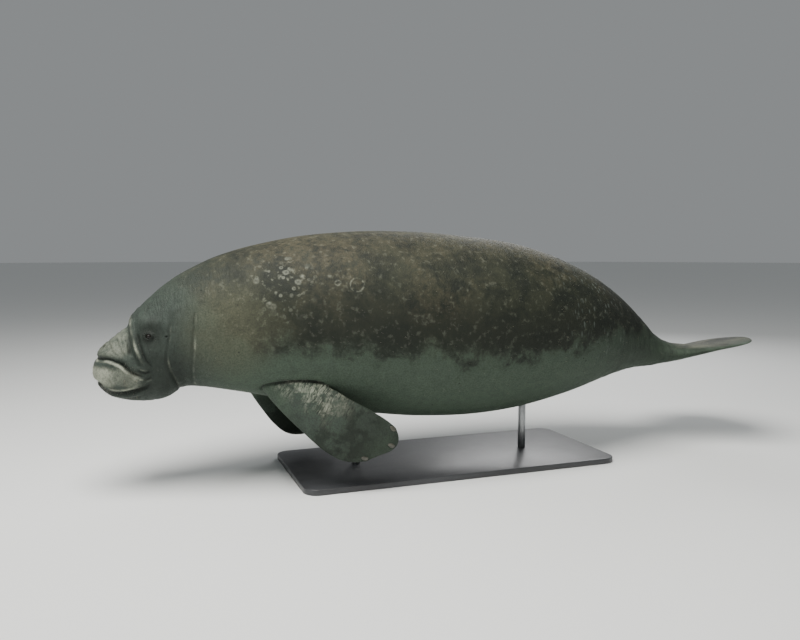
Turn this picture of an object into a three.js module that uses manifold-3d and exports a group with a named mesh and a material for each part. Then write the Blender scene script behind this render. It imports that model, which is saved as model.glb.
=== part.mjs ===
// A life-size Florida manatee, swimming, as a still museum model on a plain display stand.
// Millimetres, +Z up. The snout points along -X, the animal's left side along -Y.
// The origin is on the floor, under the middle of the whole model.

import * as THREE from "three";
import { ParametricGeometry } from "three/addons/geometries/ParametricGeometry.js";
import { mergeVertices } from "three/addons/utils/BufferGeometryUtils.js";
import Module from "manifold-3d";

const wasm = await Module();
wasm.setup();

// Driving dimensions
const bellyHeight = 205; // lowest point of the belly above the floor
const gap = 0.3; // clearance between parts that touch
const widestLevel = 0.47; // where a section is widest, from the belly line to the back line

// One row for each named place along the body, from the nose to the tip of the tail:
// the back line's x and z, the belly line's x and z, the half width, how square the
// section is (2 is an ellipse), and the roll in degrees. Heights are above the belly's lowest
// point, here and in the tables below.
const stations = {
  nose: [-1500, 282, -1500, 282, 0, 2.6, 0],
  lipPad: [-1497, 308, -1498, 256, 38, 2.6, 0],
  lips: [-1482, 342, -1486, 226, 78, 2.6, 0],
  nostrils: [-1453, 380, -1460, 196, 104, 2.5, 0],
  muzzle: [-1415, 412, -1424, 172, 118, 2.4, 0],
  muzzleFold: [-1378, 442, -1380, 158, 126, 2.3, 0],
  brow: [-1352, 488, -1330, 151, 136, 2.2, 0],
  eyes: [-1315, 528, -1280, 153, 150, 2.2, 0],
  ears: [-1258, 580, -1228, 166, 170, 2.2, 0],
  throat: [-1190, 630, -1180, 198, 190, 2.2, 0],
  neck: [-1110, 673, -1115, 196, 220, 2.2, 0],
  neckBase: [-1030, 708, -1040, 183, 250, 2.2, 0],
  shoulders: [-890, 750, -900, 152, 292, 2.2, 0],
  chest: [-700, 787, -710, 104, 332, 2.2, 0],
  ribs: [-490, 806, -500, 58, 360, 2.2, 0],
  midBack: [-250, 807, -250, 22, 374, 2.2, 0],
  belly: [0, 791, 0, 8, 375, 2.2, 0],
  loin: [250, 760, 250, 24, 358, 2.15, 0],
  rump: [470, 697, 470, 62, 316, 2.1, 0],
  tailRoot: [680, 600, 680, 118, 254, 2.1, 0],
  tailBase: [860, 468, 850, 158, 190, 2.1, 0],
  stock: [980, 350, 965, 166, 172, 2.0, 1],
  wrist: [1060, 292, 1055, 180, 214, 2.0, 4],
  paddleRoot: [1135, 270, 1135, 196, 272, 2.0, 7],
  paddleFlare: [1215, 259, 1215, 210, 315, 2.0, 9],
  paddleWidest: [1295, 256, 1295, 222, 326, 2.0, 9.5],
  paddleMiddle: [1370, 262, 1370, 236, 302, 2.0, 9.5],
  paddleRear: [1435, 273, 1435, 254, 240, 2.0, 9.5],
  paddleRim: [1482, 284, 1482, 272, 145, 2.0, 9.5],
  tailTip: [1500, 284, 1500, 284, 0, 2.0, 9.5],
};

// Nodes of the body, from which station to which, with their facets
const bodyParts = {
  head: { from: "nose", to: "throat", sides: 60, ringsPerStation: 2 },
  neck: { from: "throat", to: "neckBase", sides: 44, ringsPerStation: 2 },
  torso: { from: "neckBase", to: "tailBase", sides: 44, ringsPerStation: 2 },
  tail_stock: { from: "tailBase", to: "paddleRoot", sides: 36, ringsPerStation: 2 },
  tail_paddle: { from: "paddleRoot", to: "tailTip", sides: 36, ringsPerStation: 2 },
};

// Soft swellings of the head's sides: centre x and z, reach along x and z, height
const headSwellings = {
  lipPad: [-1410, 226, 55, 30, 13],
  noseSide: [-1425, 335, 42, 36, 7],
  cheek: [-1285, 205, 60, 48, 9],
  browSide: [-1318, 455, 42, 40, 8],
};

// Lines of the head, carved as grooves: points x and z down each side, how deep they are cut,
// and where a line crosses from side to side: over the top at an x, or round the front at a z,
// with further points at these distances to either side of the middle
const headLines = {
  lipCrease: {
    depth: 7,
    crossing: { front: 331, beside: [40, 78] },
    points: [[-1441, 330], [-1407, 314], [-1380, 292], [-1349, 272], [-1318, 260]],
  },
  muzzleFold: {
    depth: 6,
    crossing: { top: -1380, beside: [35, 68] },
    points: [[-1374, 415], [-1366, 380], [-1347, 343], [-1324, 305], [-1303, 274]],
  },
  mouthLine: {
    depth: 6,
    crossing: { front: 214, beside: [28, 55] },
    points: [[-1440, 206], [-1395, 203], [-1351, 209], [-1315, 229], [-1286, 250]],
  },
  throatFold: {
    depth: 5,
    points: [
      [-1222, 470], [-1230, 440], [-1236, 400], [-1237, 350], [-1230, 305], [-1222, 268],
      [-1215, 245], [-1208, 232], [-1200, 222],
    ],
  },
};

const eye = { x: -1306, z: 412, ballRadius: 11, proud: 4.5, lidRadius: 12.5, lidThickness: 4.5 };
const nostril = { y: 30, z: 362, length: 15, width: 6, depth: 9 };
const ear = { x: -1246, z: 411, radius: 4, depth: 12 };
const lipCleft = { depth: 6, heights: [325, 305, 285, 260, 235, 218] };

// Flippers: each side's root and tip, how far the blade bows outwards, then, at even steps
// towards the tip, how far the leading and the trailing edge stand from the line between root
// and tip, and half the thickness
const flipper = {
  left: { root: [-888, -150, 256], tip: [-409, -352, -22] },
  right: { root: [-905, -150, 246], tip: [-497, -352, -74] },
  bow: 50,
  chord: [-0.45, 0.05, -0.88],
  leading: [50, 92, 124, 148, 150, 120, 66, 32, 0],
  trailing: [76, 78, 76, 70, 70, 66, 55, 30, 0],
  halfThickness: [46, 40, 33, 27, 22, 18, 13, 8, 0],
  sides: 24,
  rings: 16,
};
const nail = {
  width: 9,
  length: 15,
  thickness: 5,
  places: [
    { step: 0.62, across: 0.85 },
    { step: 0.8, across: 0.25 },
    { step: 0.72, across: -0.8 },
  ],
};

// Display stand
const base = { length: 1400, width: 620, thickness: 24, cornerRadius: 60, bevel: 3, centre: -60 };
const rod = { radius: 17, sides: 24, front: -470, rear: 330, sunk: 60 };

const skinMaterial = new THREE.MeshStandardMaterial({ color: 0x525246, roughness: 0.75, metalness: 0 });
const headMaterial = new THREE.MeshStandardMaterial({ color: 0x5f6a5c, roughness: 0.75, metalness: 0 });
const nailMaterial = new THREE.MeshStandardMaterial({ color: 0x9c917c, roughness: 0.5, metalness: 0 });
const eyeMaterial = new THREE.MeshStandardMaterial({ color: 0x14100e, roughness: 0.1, metalness: 0 });
const baseMaterial = new THREE.MeshStandardMaterial({ color: 0x2c2d2f, roughness: 0.55, metalness: 0 });
const rodMaterial = new THREE.MeshStandardMaterial({ color: 0xb4b6b8, roughness: 0.3, metalness: 1 });

const stationNames = Object.keys(stations);
const stationRows = Object.values(stations);

// A smooth value through evenly numbered knots
function through(knots, place) {
  const last = knots.length - 1;
  const index = Math.min(Math.floor(place), last - 1);
  const t = place - index;
  const b = knots[index];
  const c = knots[index + 1];
  const a = index > 0 ? knots[index - 1] : 2 * b - c;
  const d = index + 2 <= last ? knots[index + 2] : 2 * c - b;
  const slopeB = (c - a) / 2;
  const slopeC = (d - b) / 2;
  const bend = 3 * (c - b) - 2 * slopeB - slopeC;
  const twist = slopeB + slopeC - 2 * (c - b);
  return b + t * (slopeB + t * (bend + t * twist));
}

const columns = stationRows[0].map((_, column) => stationRows.map((row) => row[column]));

function roundPower(value, power) {
  return Math.sign(value) * Math.abs(value) ** power;
}

// The skin of the body at a place along it and an angle round it
function bodyPoint(place, angle, target) {
  const station = columns.map((column) => through(column, place));
  const [backX, backZ, bellyX, bellyZ, half, square, roll] = station;
  const up = roundPower(Math.sin(angle), 2 / square);
  const share = widestLevel + up * (up > 0 ? 1 - widestLevel : widestLevel);
  const across = half * roundPower(Math.cos(angle), 2 / square);
  const x = bellyX + (backX - bellyX) * share;
  const height = (backZ - bellyZ) * (share - widestLevel);
  const turn = THREE.MathUtils.degToRad(-roll);
  const y = across * Math.cos(turn) - height * Math.sin(turn);
  const z = bellyZ + (backZ - bellyZ) * widestLevel + across * Math.sin(turn) + height * Math.cos(turn);
  target.set(x, y, z);
  swell(target);
  target.z += bellyHeight;
}

function swell(point) {
  const side = Math.tanh(point.y / 25);
  for (const [x, z, reachX, reachZ, height] of Object.values(headSwellings)) {
    point.y += side * height * Math.exp(-(((point.x - x) / reachX) ** 2) - ((point.z - z) / reachZ) ** 2);
  }
}

// A closed stretch of the body, with a flat end wherever it doesn't run out to a point
function bodyStretch({ from, to, sides, ringsPerStation }) {
  const first = stationNames.indexOf(from);
  const last = stationNames.indexOf(to);
  const rings = (last - first) * ringsPerStation;
  const centre = new THREE.Vector3();
  const opposite = new THREE.Vector3();
  const surface = (u, v, target) => {
    const ring = Math.round(v * (rings + 2)) - 1;
    const place = first + THREE.MathUtils.clamp(ring, 0, rings) / ringsPerStation;
    if (ring < 0 || ring > rings) {
      bodyPoint(place, Math.PI / 2, centre);
      bodyPoint(place, -Math.PI / 2, opposite);
      target.lerpVectors(centre, opposite, 0.5);
    } else {
      bodyPoint(place, 2 * Math.PI * (u % 1), target);
    }
    if (ring <= 0 && first > 0) target.x += gap / 2;
    if (ring >= rings && last < stationNames.length - 1) target.x -= gap / 2;
  };
  return new ParametricGeometry(surface, sides, rings + 2);
}

// Joined vertices, with the slivers at the poles left out
function welded(geometry) {
  const bare = geometry.clone();
  bare.deleteAttribute("normal");
  bare.deleteAttribute("uv");
  const merged = mergeVertices(bare, 1e-3);
  const corners = Array.from(merged.index.array);
  const kept = [];
  for (let i = 0; i < corners.length; i += 3) {
    const [a, b, c] = corners.slice(i, i + 3);
    if (a !== b && b !== c && c !== a) kept.push(a, b, c);
  }
  merged.setIndex(kept);
  return merged;
}

function solid(geometry) {
  const closed = welded(geometry);
  return new wasm.Manifold(new wasm.Mesh({
    numProp: 3,
    vertProperties: new Float32Array(closed.attributes.position.array),
    triVerts: new Uint32Array(closed.index.array),
  }));
}

// The largest closed surface of a cut solid
function largest(cut) {
  const pieces = cut.decompose();
  pieces.sort((one, other) => other.volume() - one.volume());
  const mesh = pieces[0].getMesh();
  const geometry = new THREE.BufferGeometry();
  geometry.setAttribute("position", new THREE.BufferAttribute(new Float32Array(mesh.vertProperties), 3));
  geometry.setIndex(new THREE.BufferAttribute(new Uint32Array(mesh.triVerts), 1));
  return geometry;
}

// The same geometry with its skin moved outwards
function grown(geometry, amount) {
  const copy = welded(geometry);
  copy.computeVertexNormals();
  const { position, normal } = copy.attributes;
  for (let i = 0; i < position.count; i++) {
    position.setXYZ(
      i,
      position.getX(i) + amount * normal.getX(i),
      position.getY(i) + amount * normal.getY(i),
      position.getZ(i) + amount * normal.getZ(i),
    );
  }
  return copy;
}

// Where a straight line first meets a geometry, with the outward direction there
function meeting(geometry, origin, direction) {
  const ray = new THREE.Raycaster(origin, direction.clone().normalize());
  const [hit] = ray.intersectObject(new THREE.Mesh(geometry));
  return { point: hit.point, outward: hit.face.normal.clone() };
}

function onSide(geometry, side, x, z) {
  const far = new THREE.Vector3(x, side * 2000, z + bellyHeight);
  return meeting(geometry, far, new THREE.Vector3(0, -side, 0));
}

function onFront(geometry, y, z) {
  return meeting(geometry, new THREE.Vector3(-2500, y, z + bellyHeight), new THREE.Vector3(1, 0, 0));
}

function onTop(geometry, x, y) {
  return meeting(geometry, new THREE.Vector3(x, y, 2000), new THREE.Vector3(0, 0, -1));
}

// A four-sided cord along points, used to carve a line
function cord(points, depth) {
  const section = new THREE.Shape();
  section.absarc(0, 0, depth, 0, 2 * Math.PI);
  return new THREE.ExtrudeGeometry(section, {
    steps: 2 * points.length,
    curveSegments: 2,
    bevelEnabled: false,
    extrudePath: new THREE.CatmullRomCurve3(points),
  });
}

// Turns a geometry's Z axis outwards and its Y axis along a line, and sets it on a point
function placed(geometry, point, outward, along = new THREE.Vector3(0, 0, 1)) {
  const lie = along.clone().addScaledVector(outward, -along.dot(outward)).normalize();
  const across = new THREE.Vector3().crossVectors(lie, outward);
  geometry.applyMatrix4(new THREE.Matrix4().makeBasis(across, lie, outward));
  geometry.translate(point.x, point.y, point.z);
  return geometry;
}

function ellipsoid(acrossRadius, alongRadius, depthRadius) {
  const geometry = new THREE.SphereGeometry(1, 12, 8);
  return geometry.scale(acrossRadius, alongRadius, depthRadius);
}

const sides = { left: -1, right: 1 };

// The courses of a head line: one over both sides where it crosses, or one for each side
function courses(headSkin, { points, crossing }) {
  const [left, right] = Object.values(sides).map((side) =>
    points.map(([x, z]) => onSide(headSkin, side, x, z).point),
  );
  if (!crossing) return [left, right];
  const { top, front, beside } = crossing;
  const steps = [...beside.map((y) => -y).reverse(), 0, ...beside];
  const middle = steps.map((y) => (top ? onTop(headSkin, top, y) : onFront(headSkin, y, front)).point);
  return [[...left.reverse(), ...middle, ...right]];
}

function headSolid(headSkin) {
  let head = solid(headSkin);
  for (const line of Object.values(headLines)) {
    for (const course of courses(headSkin, line)) {
      head = head.subtract(solid(cord(course, line.depth)));
    }
  }
  for (const side of Object.values(sides)) {
    const socket = eyeSocket(headSkin, side);
    const lid = new THREE.TorusGeometry(eye.lidRadius, eye.lidThickness, 6, 16);
    head = head.add(solid(placed(lid, socket.point, socket.outward)));
    const room = new THREE.SphereGeometry(eye.ballRadius + gap, 16, 10);
    head = head.subtract(solid(placed(room, socket.ball, socket.outward)));
    const nose = onFront(headSkin, side * nostril.y, nostril.z);
    const nostrilCut = ellipsoid(nostril.width, nostril.length, nostril.depth);
    head = head.subtract(solid(placed(nostrilCut, nose.point, nose.outward)));
    const earPlace = onSide(headSkin, side, ear.x, ear.z);
    const earCut = ellipsoid(ear.radius, ear.radius, ear.depth);
    head = head.subtract(solid(placed(earCut, earPlace.point, earPlace.outward)));
  }
  const cleft = lipCleft.heights.map((z) => onFront(headSkin, 0, z).point);
  return largest(head.subtract(solid(cord(cleft, lipCleft.depth))));
}

function eyeSocket(headSkin, side) {
  const { point, outward } = onSide(headSkin, side, eye.x, eye.z);
  const ball = point.clone().addScaledVector(outward, eye.proud - eye.ballRadius);
  return { point, outward, ball };
}

// The line of a flipper from root to tip, the way its leading edge lies, and its outer face
function flipperFrame(sideName) {
  const root = new THREE.Vector3(...flipper[sideName].root);
  const axis = new THREE.Vector3(...flipper[sideName].tip).sub(root);
  const chord = new THREE.Vector3(...flipper.chord);
  chord.addScaledVector(axis, -chord.dot(axis) / axis.lengthSq()).normalize();
  const outward = new THREE.Vector3().crossVectors(axis, chord).normalize();
  return { root, axis, chord, outward };
}

// The skin of a flipper at a step along it and an angle round it. Steps crowd towards the tip.
function flipperPoint(sideName, step, angle, target) {
  const { root, axis, chord, outward } = flipperFrame(sideName);
  const knot = step * (flipper.leading.length - 1);
  const along = Math.sin((step * Math.PI) / 2);
  const across = Math.cos(angle);
  const edge = through(across > 0 ? flipper.leading : flipper.trailing, knot);
  const thickness = through(flipper.halfThickness, knot);
  target.copy(root).addScaledVector(axis, along);
  target.addScaledVector(chord, edge * across);
  target.addScaledVector(outward, thickness * Math.sin(angle));
  target.y -= flipper.bow * Math.sin(Math.PI * along);
  target.set(target.x, -sides[sideName] * target.y, target.z + bellyHeight);
}

function flipperGeometry(sideName) {
  const opposite = new THREE.Vector3();
  const surface = (u, v, target) => {
    const ring = Math.round(v * (flipper.rings + 1)) - 1;
    if (ring < 0) {
      flipperPoint(sideName, 0, 0, target);
      flipperPoint(sideName, 0, Math.PI, opposite);
      target.lerp(opposite, 0.5);
    } else {
      flipperPoint(sideName, ring / flipper.rings, -sides[sideName] * 2 * Math.PI * (u % 1), target);
    }
  };
  return new ParametricGeometry(surface, flipper.sides, flipper.rings + 1);
}

function part(name, geometry, material) {
  const flat = geometry.index ? geometry.toNonIndexed() : geometry;
  flat.computeVertexNormals();
  const mesh = new THREE.Mesh(flat, material);
  mesh.name = name;
  return mesh;
}

const manatee = new THREE.Group();
const skins = Object.fromEntries(
  Object.entries(bodyParts).map(([name, stretch]) => [name, welded(bodyStretch(stretch))]),
);

for (const [name, skin] of Object.entries(skins)) {
  if (name === "head") {
    manatee.add(part(name, headSolid(skin), headMaterial));
  } else {
    manatee.add(part(name, skin, skinMaterial));
  }
}

const bodyRoom = solid(grown(skins.torso, gap)).add(solid(grown(skins.neck, gap)));

for (const [sideName, side] of Object.entries(sides)) {
  const socket = eyeSocket(skins.head, side);
  const ball = new THREE.SphereGeometry(eye.ballRadius, 16, 10);
  manatee.add(part(`eye_${sideName}`, placed(ball, socket.ball, socket.outward), eyeMaterial));

  const { axis } = flipperFrame(sideName);
  const along = new THREE.Vector3(axis.x, -side * axis.y, axis.z).normalize();
  const blade = flipperGeometry(sideName);
  let flesh = solid(blade).subtract(bodyRoom);
  nail.places.forEach(({ step, across }, index) => {
    const near = new THREE.Vector3();
    flipperPoint(sideName, step, Math.acos(across), near);
    const { point, outward } = onSide(blade, side, near.x, near.z - bellyHeight);
    const plate = ellipsoid(nail.width, nail.length, nail.thickness);
    const room = ellipsoid(nail.width + gap, nail.length + gap, nail.thickness + gap);
    flesh = flesh.subtract(solid(placed(room, point, outward, along)));
    const name = `flipper_${sideName}_nail_${index + 1}`;
    manatee.add(part(name, placed(plate, point, outward, along), nailMaterial));
  });
  manatee.add(part(`flipper_${sideName}`, largest(flesh), skinMaterial));
}

function standBase() {
  const { length, width, thickness, cornerRadius, bevel, centre } = base;
  const cornerX = length / 2 - bevel - cornerRadius;
  const cornerY = width / 2 - bevel - cornerRadius;
  const quarter = Math.PI / 2;
  const outline = new THREE.Shape();
  outline.absarc(cornerX, cornerY, cornerRadius, 0, quarter);
  outline.absarc(-cornerX, cornerY, cornerRadius, quarter, 2 * quarter);
  outline.absarc(-cornerX, -cornerY, cornerRadius, 2 * quarter, 3 * quarter);
  outline.absarc(cornerX, -cornerY, cornerRadius, 3 * quarter, 4 * quarter);
  const plate = new THREE.ExtrudeGeometry(outline, {
    depth: thickness - 2 * bevel,
    bevelThickness: bevel,
    bevelSize: bevel,
    bevelSegments: 1,
    curveSegments: 6,
  });
  plate.translate(centre, 0, bevel);
  return plate;
}

manatee.add(part("stand_base", standBase(), baseMaterial));

for (const end of ["front", "rear"]) {
  const bottom = base.thickness + gap;
  const height = bellyHeight + rod.sunk - bottom;
  const post = new THREE.CylinderGeometry(rod.radius, rod.radius, height, rod.sides);
  post.rotateX(Math.PI / 2);
  post.translate(rod[end], 0, bottom + height / 2);
  manatee.add(part(`stand_rod_${end}`, largest(solid(post).subtract(bodyRoom)), rodMaterial));
}

export default manatee;
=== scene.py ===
"""A life-size manatee, swimming, as a museum model on a plain display stand.

The solids come from the frame. This script dresses them: one skin over the whole animal, its
eyes, nails, bristles and hairs, the stand's board and rods, and a plain studio round them.
Lengths are in metres. The snout points along -X, the animal's left side along -Y, +Z is up.
"""

import math
import random

import bmesh
import bpy
import numpy as np
from bpy.props import FloatProperty, FloatVectorProperty, IntProperty, PointerProperty
from mathutils import Matrix, Vector, noise


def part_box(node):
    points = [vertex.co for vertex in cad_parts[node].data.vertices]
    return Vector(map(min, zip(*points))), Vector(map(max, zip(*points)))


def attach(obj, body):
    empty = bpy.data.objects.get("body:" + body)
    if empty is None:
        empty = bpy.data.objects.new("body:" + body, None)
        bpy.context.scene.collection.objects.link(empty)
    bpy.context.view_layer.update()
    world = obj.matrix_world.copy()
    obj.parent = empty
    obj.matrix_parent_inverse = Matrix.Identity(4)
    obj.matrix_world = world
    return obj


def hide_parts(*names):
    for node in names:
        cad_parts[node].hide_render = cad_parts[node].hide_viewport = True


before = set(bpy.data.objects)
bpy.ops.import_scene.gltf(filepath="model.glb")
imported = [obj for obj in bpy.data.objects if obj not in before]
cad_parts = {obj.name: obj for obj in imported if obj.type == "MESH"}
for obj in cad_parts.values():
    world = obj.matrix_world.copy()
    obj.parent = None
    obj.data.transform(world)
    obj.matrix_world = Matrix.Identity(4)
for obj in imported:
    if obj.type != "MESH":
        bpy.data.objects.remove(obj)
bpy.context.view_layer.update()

bl_info = {
    "name": "Manatee museum model",
    "version": (1, 0, 0),
    "blender": (4, 5, 0),
    "location": "View3D > Sidebar > Manatee",
    "description": "Skin, eyes, nails, bristles and display stand of a life-size manatee",
    "category": "Object",
}

# The body's sections, from the nose to the tip of the tail

BELLY_HEIGHT = 0.205  # lowest point of the belly above the floor
WIDEST_LEVEL = 0.47  # where a section is widest, from the belly line to the back line

# Each row: the back line's x and z, the belly line's x and z, the half width, how square the
# section is (2 is an ellipse), and the roll in degrees. Heights are above the belly's lowest
# point, here and in the tables below.
STATIONS = {
    "nose": (-1.500, 0.282, -1.500, 0.282, 0.0, 2.6, 0),
    "lip_pad": (-1.497, 0.308, -1.498, 0.256, 0.038, 2.6, 0),
    "lips": (-1.482, 0.342, -1.486, 0.226, 0.078, 2.6, 0),
    "nostrils": (-1.453, 0.380, -1.460, 0.196, 0.104, 2.5, 0),
    "muzzle": (-1.415, 0.412, -1.424, 0.172, 0.118, 2.4, 0),
    "muzzle_fold": (-1.378, 0.442, -1.380, 0.158, 0.126, 2.3, 0),
    "brow": (-1.352, 0.488, -1.330, 0.151, 0.136, 2.2, 0),
    "eyes": (-1.315, 0.528, -1.280, 0.153, 0.150, 2.2, 0),
    "ears": (-1.258, 0.580, -1.228, 0.166, 0.170, 2.2, 0),
    "throat": (-1.190, 0.630, -1.180, 0.198, 0.190, 2.2, 0),
    "neck": (-1.110, 0.673, -1.115, 0.196, 0.220, 2.2, 0),
    "neck_base": (-1.030, 0.708, -1.040, 0.183, 0.250, 2.2, 0),
    "shoulders": (-0.890, 0.750, -0.900, 0.152, 0.292, 2.2, 0),
    "chest": (-0.700, 0.787, -0.710, 0.104, 0.332, 2.2, 0),
    "ribs": (-0.490, 0.806, -0.500, 0.058, 0.360, 2.2, 0),
    "mid_back": (-0.250, 0.807, -0.250, 0.022, 0.374, 2.2, 0),
    "belly": (0.0, 0.791, 0.0, 0.008, 0.375, 2.2, 0),
    "loin": (0.250, 0.760, 0.250, 0.024, 0.358, 2.15, 0),
    "rump": (0.470, 0.697, 0.470, 0.062, 0.316, 2.1, 0),
    "tail_root": (0.680, 0.600, 0.680, 0.118, 0.254, 2.1, 0),
    "tail_base": (0.860, 0.468, 0.850, 0.158, 0.190, 2.1, 0),
    "stock": (0.980, 0.350, 0.965, 0.166, 0.172, 2.0, 1),
    "wrist": (1.060, 0.292, 1.055, 0.180, 0.214, 2.0, 4),
    "paddle_root": (1.135, 0.270, 1.135, 0.196, 0.272, 2.0, 7),
    "paddle_flare": (1.215, 0.259, 1.215, 0.210, 0.315, 2.0, 9),
    "paddle_widest": (1.295, 0.256, 1.295, 0.222, 0.326, 2.0, 9.5),
    "paddle_middle": (1.370, 0.262, 1.370, 0.236, 0.302, 2.0, 9.5),
    "paddle_rear": (1.435, 0.273, 1.435, 0.254, 0.240, 2.0, 9.5),
    "paddle_rim": (1.482, 0.284, 1.482, 0.272, 0.145, 2.0, 9.5),
    "tail_tip": (1.500, 0.284, 1.500, 0.284, 0.0, 2.0, 9.5),
}
STATION_ROWS = np.array(list(STATIONS.values()))

# Soft swellings on both sides: centre x and z, reach along x and z, height. The solids have
# them too, except those in FLESH.
SWELLINGS = {
    "lip_pad": (-1.410, 0.226, 0.055, 0.030, 0.013),
    "nose_side": (-1.425, 0.335, 0.042, 0.036, 0.007),
    "cheek": (-1.285, 0.205, 0.060, 0.048, 0.009),
    "brow_side": (-1.318, 0.455, 0.042, 0.040, 0.008),
}
SWELLING_SIDE = 0.025  # how far from the middle a swelling is at full height
FLESH = {
    "lip_pad_crown": (-1.405, 0.268, 0.055, 0.034, 0.007),
    "lip_pad_heel": (-1.338, 0.247, 0.030, 0.016, 0.005),
    "nose_wing": (-1.438, 0.352, 0.022, 0.016, 0.003),
    "brow": (-1.303, 0.462, 0.045, 0.020, 0.006),
    "eye_hollow": (-1.290, 0.412, 0.036, 0.030, -0.004),
    "cheek_fat": (-1.262, 0.330, 0.040, 0.050, 0.005),
    "jowl": (-1.262, 0.235, 0.034, 0.040, 0.006),
}

NO_MARK = (0.0, 0.01, 0.0)


def fold(points, forms, dark, pale=NO_MARK, rise=0.0, fades=(True, True)):
    """A line in the hide of head or neck, as seen from the side.

    It has its points' x and z, the ridges and grooves along it, each with its offset, width and
    height, and dark and pale marks of colour, each with its offset, width and strength. The dark
    mark is painted shade in the fold; the pale mark is partly pale skin, partly painted highlight
    along the fold. Offsets are upwards, or towards the tail where a line runs down. Rise is how
    much higher the line is at the middle of the front, and fades says whether each end fades out.
    """
    return {
        "points": np.array(points),
        "forms": forms,
        "dark": dark,
        "pale": pale,
        "rise": rise,
        "fades": fades,
    }


FOLDS = {
    "lip_crease": fold(
        points=[
            (-1.500, 0.332), (-1.487, 0.329), (-1.469, 0.331), (-1.451, 0.331), (-1.431, 0.325),
            (-1.401, 0.310), (-1.379, 0.288), (-1.356, 0.272), (-1.325, 0.261), (-1.300, 0.270),
        ],
        forms=[(0.0, 0.0048, -0.009), (0.015, 0.012, 0.003), (-0.013, 0.012, 0.0035)],
        dark=(0.0, 0.0045, 1.0),
        pale=(-0.01, 0.0065, 0.85),
        rise=0.004,
        fades=(False, True),
    ),
    "crease_depth": fold(
        points=[
            (-1.430, 0.325), (-1.401, 0.309), (-1.379, 0.287), (-1.356, 0.271), (-1.322, 0.262),
        ],
        forms=[(0.002, 0.007, -0.006), (0.018, 0.01, 0.003)],
        dark=(0.003, 0.008, 0.9),
        pale=(-0.012, 0.006, 0.5),
    ),
    "crease_branch": fold(
        points=[(-1.352, 0.290), (-1.334, 0.280), (-1.316, 0.277), (-1.298, 0.284)],
        forms=[(0.0, 0.004, -0.006), (0.009, 0.006, 0.004)],
        dark=(0.0, 0.004, 0.9),
        pale=(0.009, 0.004, 0.5),
    ),
    "crease_twig": fold(
        points=[(-1.330, 0.248), (-1.314, 0.252), (-1.296, 0.262)],
        forms=[(0.0, 0.004, -0.005), (0.008, 0.006, 0.002)],
        dark=(0.0, 0.004, 0.7),
        pale=(-0.008, 0.005, 0.3),
    ),
    "muzzle_fold": fold(
        points=[
            (-1.366, 0.500), (-1.362, 0.470), (-1.361, 0.441), (-1.356, 0.410), (-1.347, 0.363),
            (-1.329, 0.317), (-1.306, 0.283),
        ],
        forms=[(0.0, 0.011, 0.008), (0.034, 0.02, 0.003), (-0.019, 0.009, -0.0045)],
        dark=(-0.017, 0.006, 0.45),
        pale=(-0.002, 0.008, 0.55),
        fades=(False, True),
    ),
    "muzzle_groove": fold(
        points=[
            (-1.349, 0.436), (-1.342, 0.400), (-1.332, 0.360), (-1.314, 0.318), (-1.288, 0.288),
        ],
        forms=[(0.0, 0.0055, -0.0075), (0.014, 0.01, 0.002)],
        dark=(0.0, 0.0055, 0.95),
    ),
    "muzzle_slit": fold(
        points=[(-1.382, 0.418), (-1.377, 0.392), (-1.375, 0.359), (-1.366, 0.335)],
        forms=[(0.0, 0.0045, -0.008), (-0.01, 0.007, 0.003)],
        dark=(0.0, 0.005, 0.95),
        pale=(-0.01, 0.005, 0.2),
    ),
    "nose_wrinkle": fold(
        points=[(-1.452, 0.392), (-1.440, 0.376), (-1.428, 0.354), (-1.413, 0.336)],
        forms=[(0.0, 0.004, -0.003), (0.008, 0.005, 0.002)],
        dark=(0.0, 0.004, 0.35),
        pale=(0.007, 0.004, 0.4),
    ),
    "nose_wrinkle_rear": fold(
        points=[(-1.421, 0.414), (-1.412, 0.388), (-1.400, 0.358), (-1.384, 0.332)],
        forms=[(0.0, 0.004, -0.003), (0.008, 0.006, 0.002)],
        dark=(0.0, 0.004, 0.35),
        pale=(0.008, 0.005, 0.25),
    ),
    "mouth": fold(
        points=[
            (-1.500, 0.232), (-1.480, 0.226), (-1.462, 0.210), (-1.435, 0.200), (-1.393, 0.200),
            (-1.351, 0.209), (-1.315, 0.225), (-1.288, 0.246),
        ],
        forms=[(0.0, 0.006, -0.014), (0.016, 0.01, 0.003), (-0.014, 0.009, 0.004)],
        dark=(-0.002, 0.01, 1.0),
        pale=(0.016, 0.006, 0.6),
        rise=0.016,
        fades=(False, True),
    ),
    "chin_fold": fold(
        points=[(-1.420, 0.176), (-1.380, 0.172), (-1.335, 0.182), (-1.298, 0.204)],
        forms=[(0.0, 0.006, -0.004), (0.012, 0.008, 0.002)],
        dark=(0.0, 0.007, 0.45),
    ),
    "neck_front": fold(
        points=[
            (-1.214, 0.540), (-1.226, 0.469), (-1.231, 0.421), (-1.237, 0.374), (-1.242, 0.340),
            (-1.233, 0.290), (-1.212, 0.245), (-1.192, 0.200),
        ],
        forms=[(0.0, 0.0055, -0.0045), (0.014, 0.01, 0.0025), (-0.014, 0.01, 0.003)],
        dark=(-0.007, 0.006, 0.3),
        pale=(0.001, 0.0058, 0.34),
        fades=(True, False),
    ),
    "neck_middle": fold(
        points=[
            (-1.134, 0.540), (-1.141, 0.481), (-1.146, 0.433), (-1.150, 0.341), (-1.152, 0.275),
            (-1.141, 0.215),
        ],
        forms=[(0.0, 0.0055, -0.0045), (0.015, 0.011, 0.0025), (-0.015, 0.011, 0.0025)],
        dark=(-0.008, 0.006, 0.25),
        pale=(0.002, 0.0062, 0.36),
        fades=(True, False),
    ),
    "neck_rear": fold(
        points=[
            (-1.082, 0.450), (-1.090, 0.397), (-1.095, 0.370), (-1.101, 0.324), (-1.098, 0.280),
        ],
        forms=[(0.0, 0.006, -0.003), (0.014, 0.01, 0.0015)],
        dark=(0.006, 0.006, 0.2),
        pale=(-0.001, 0.006, 0.26),
    ),
}

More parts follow.
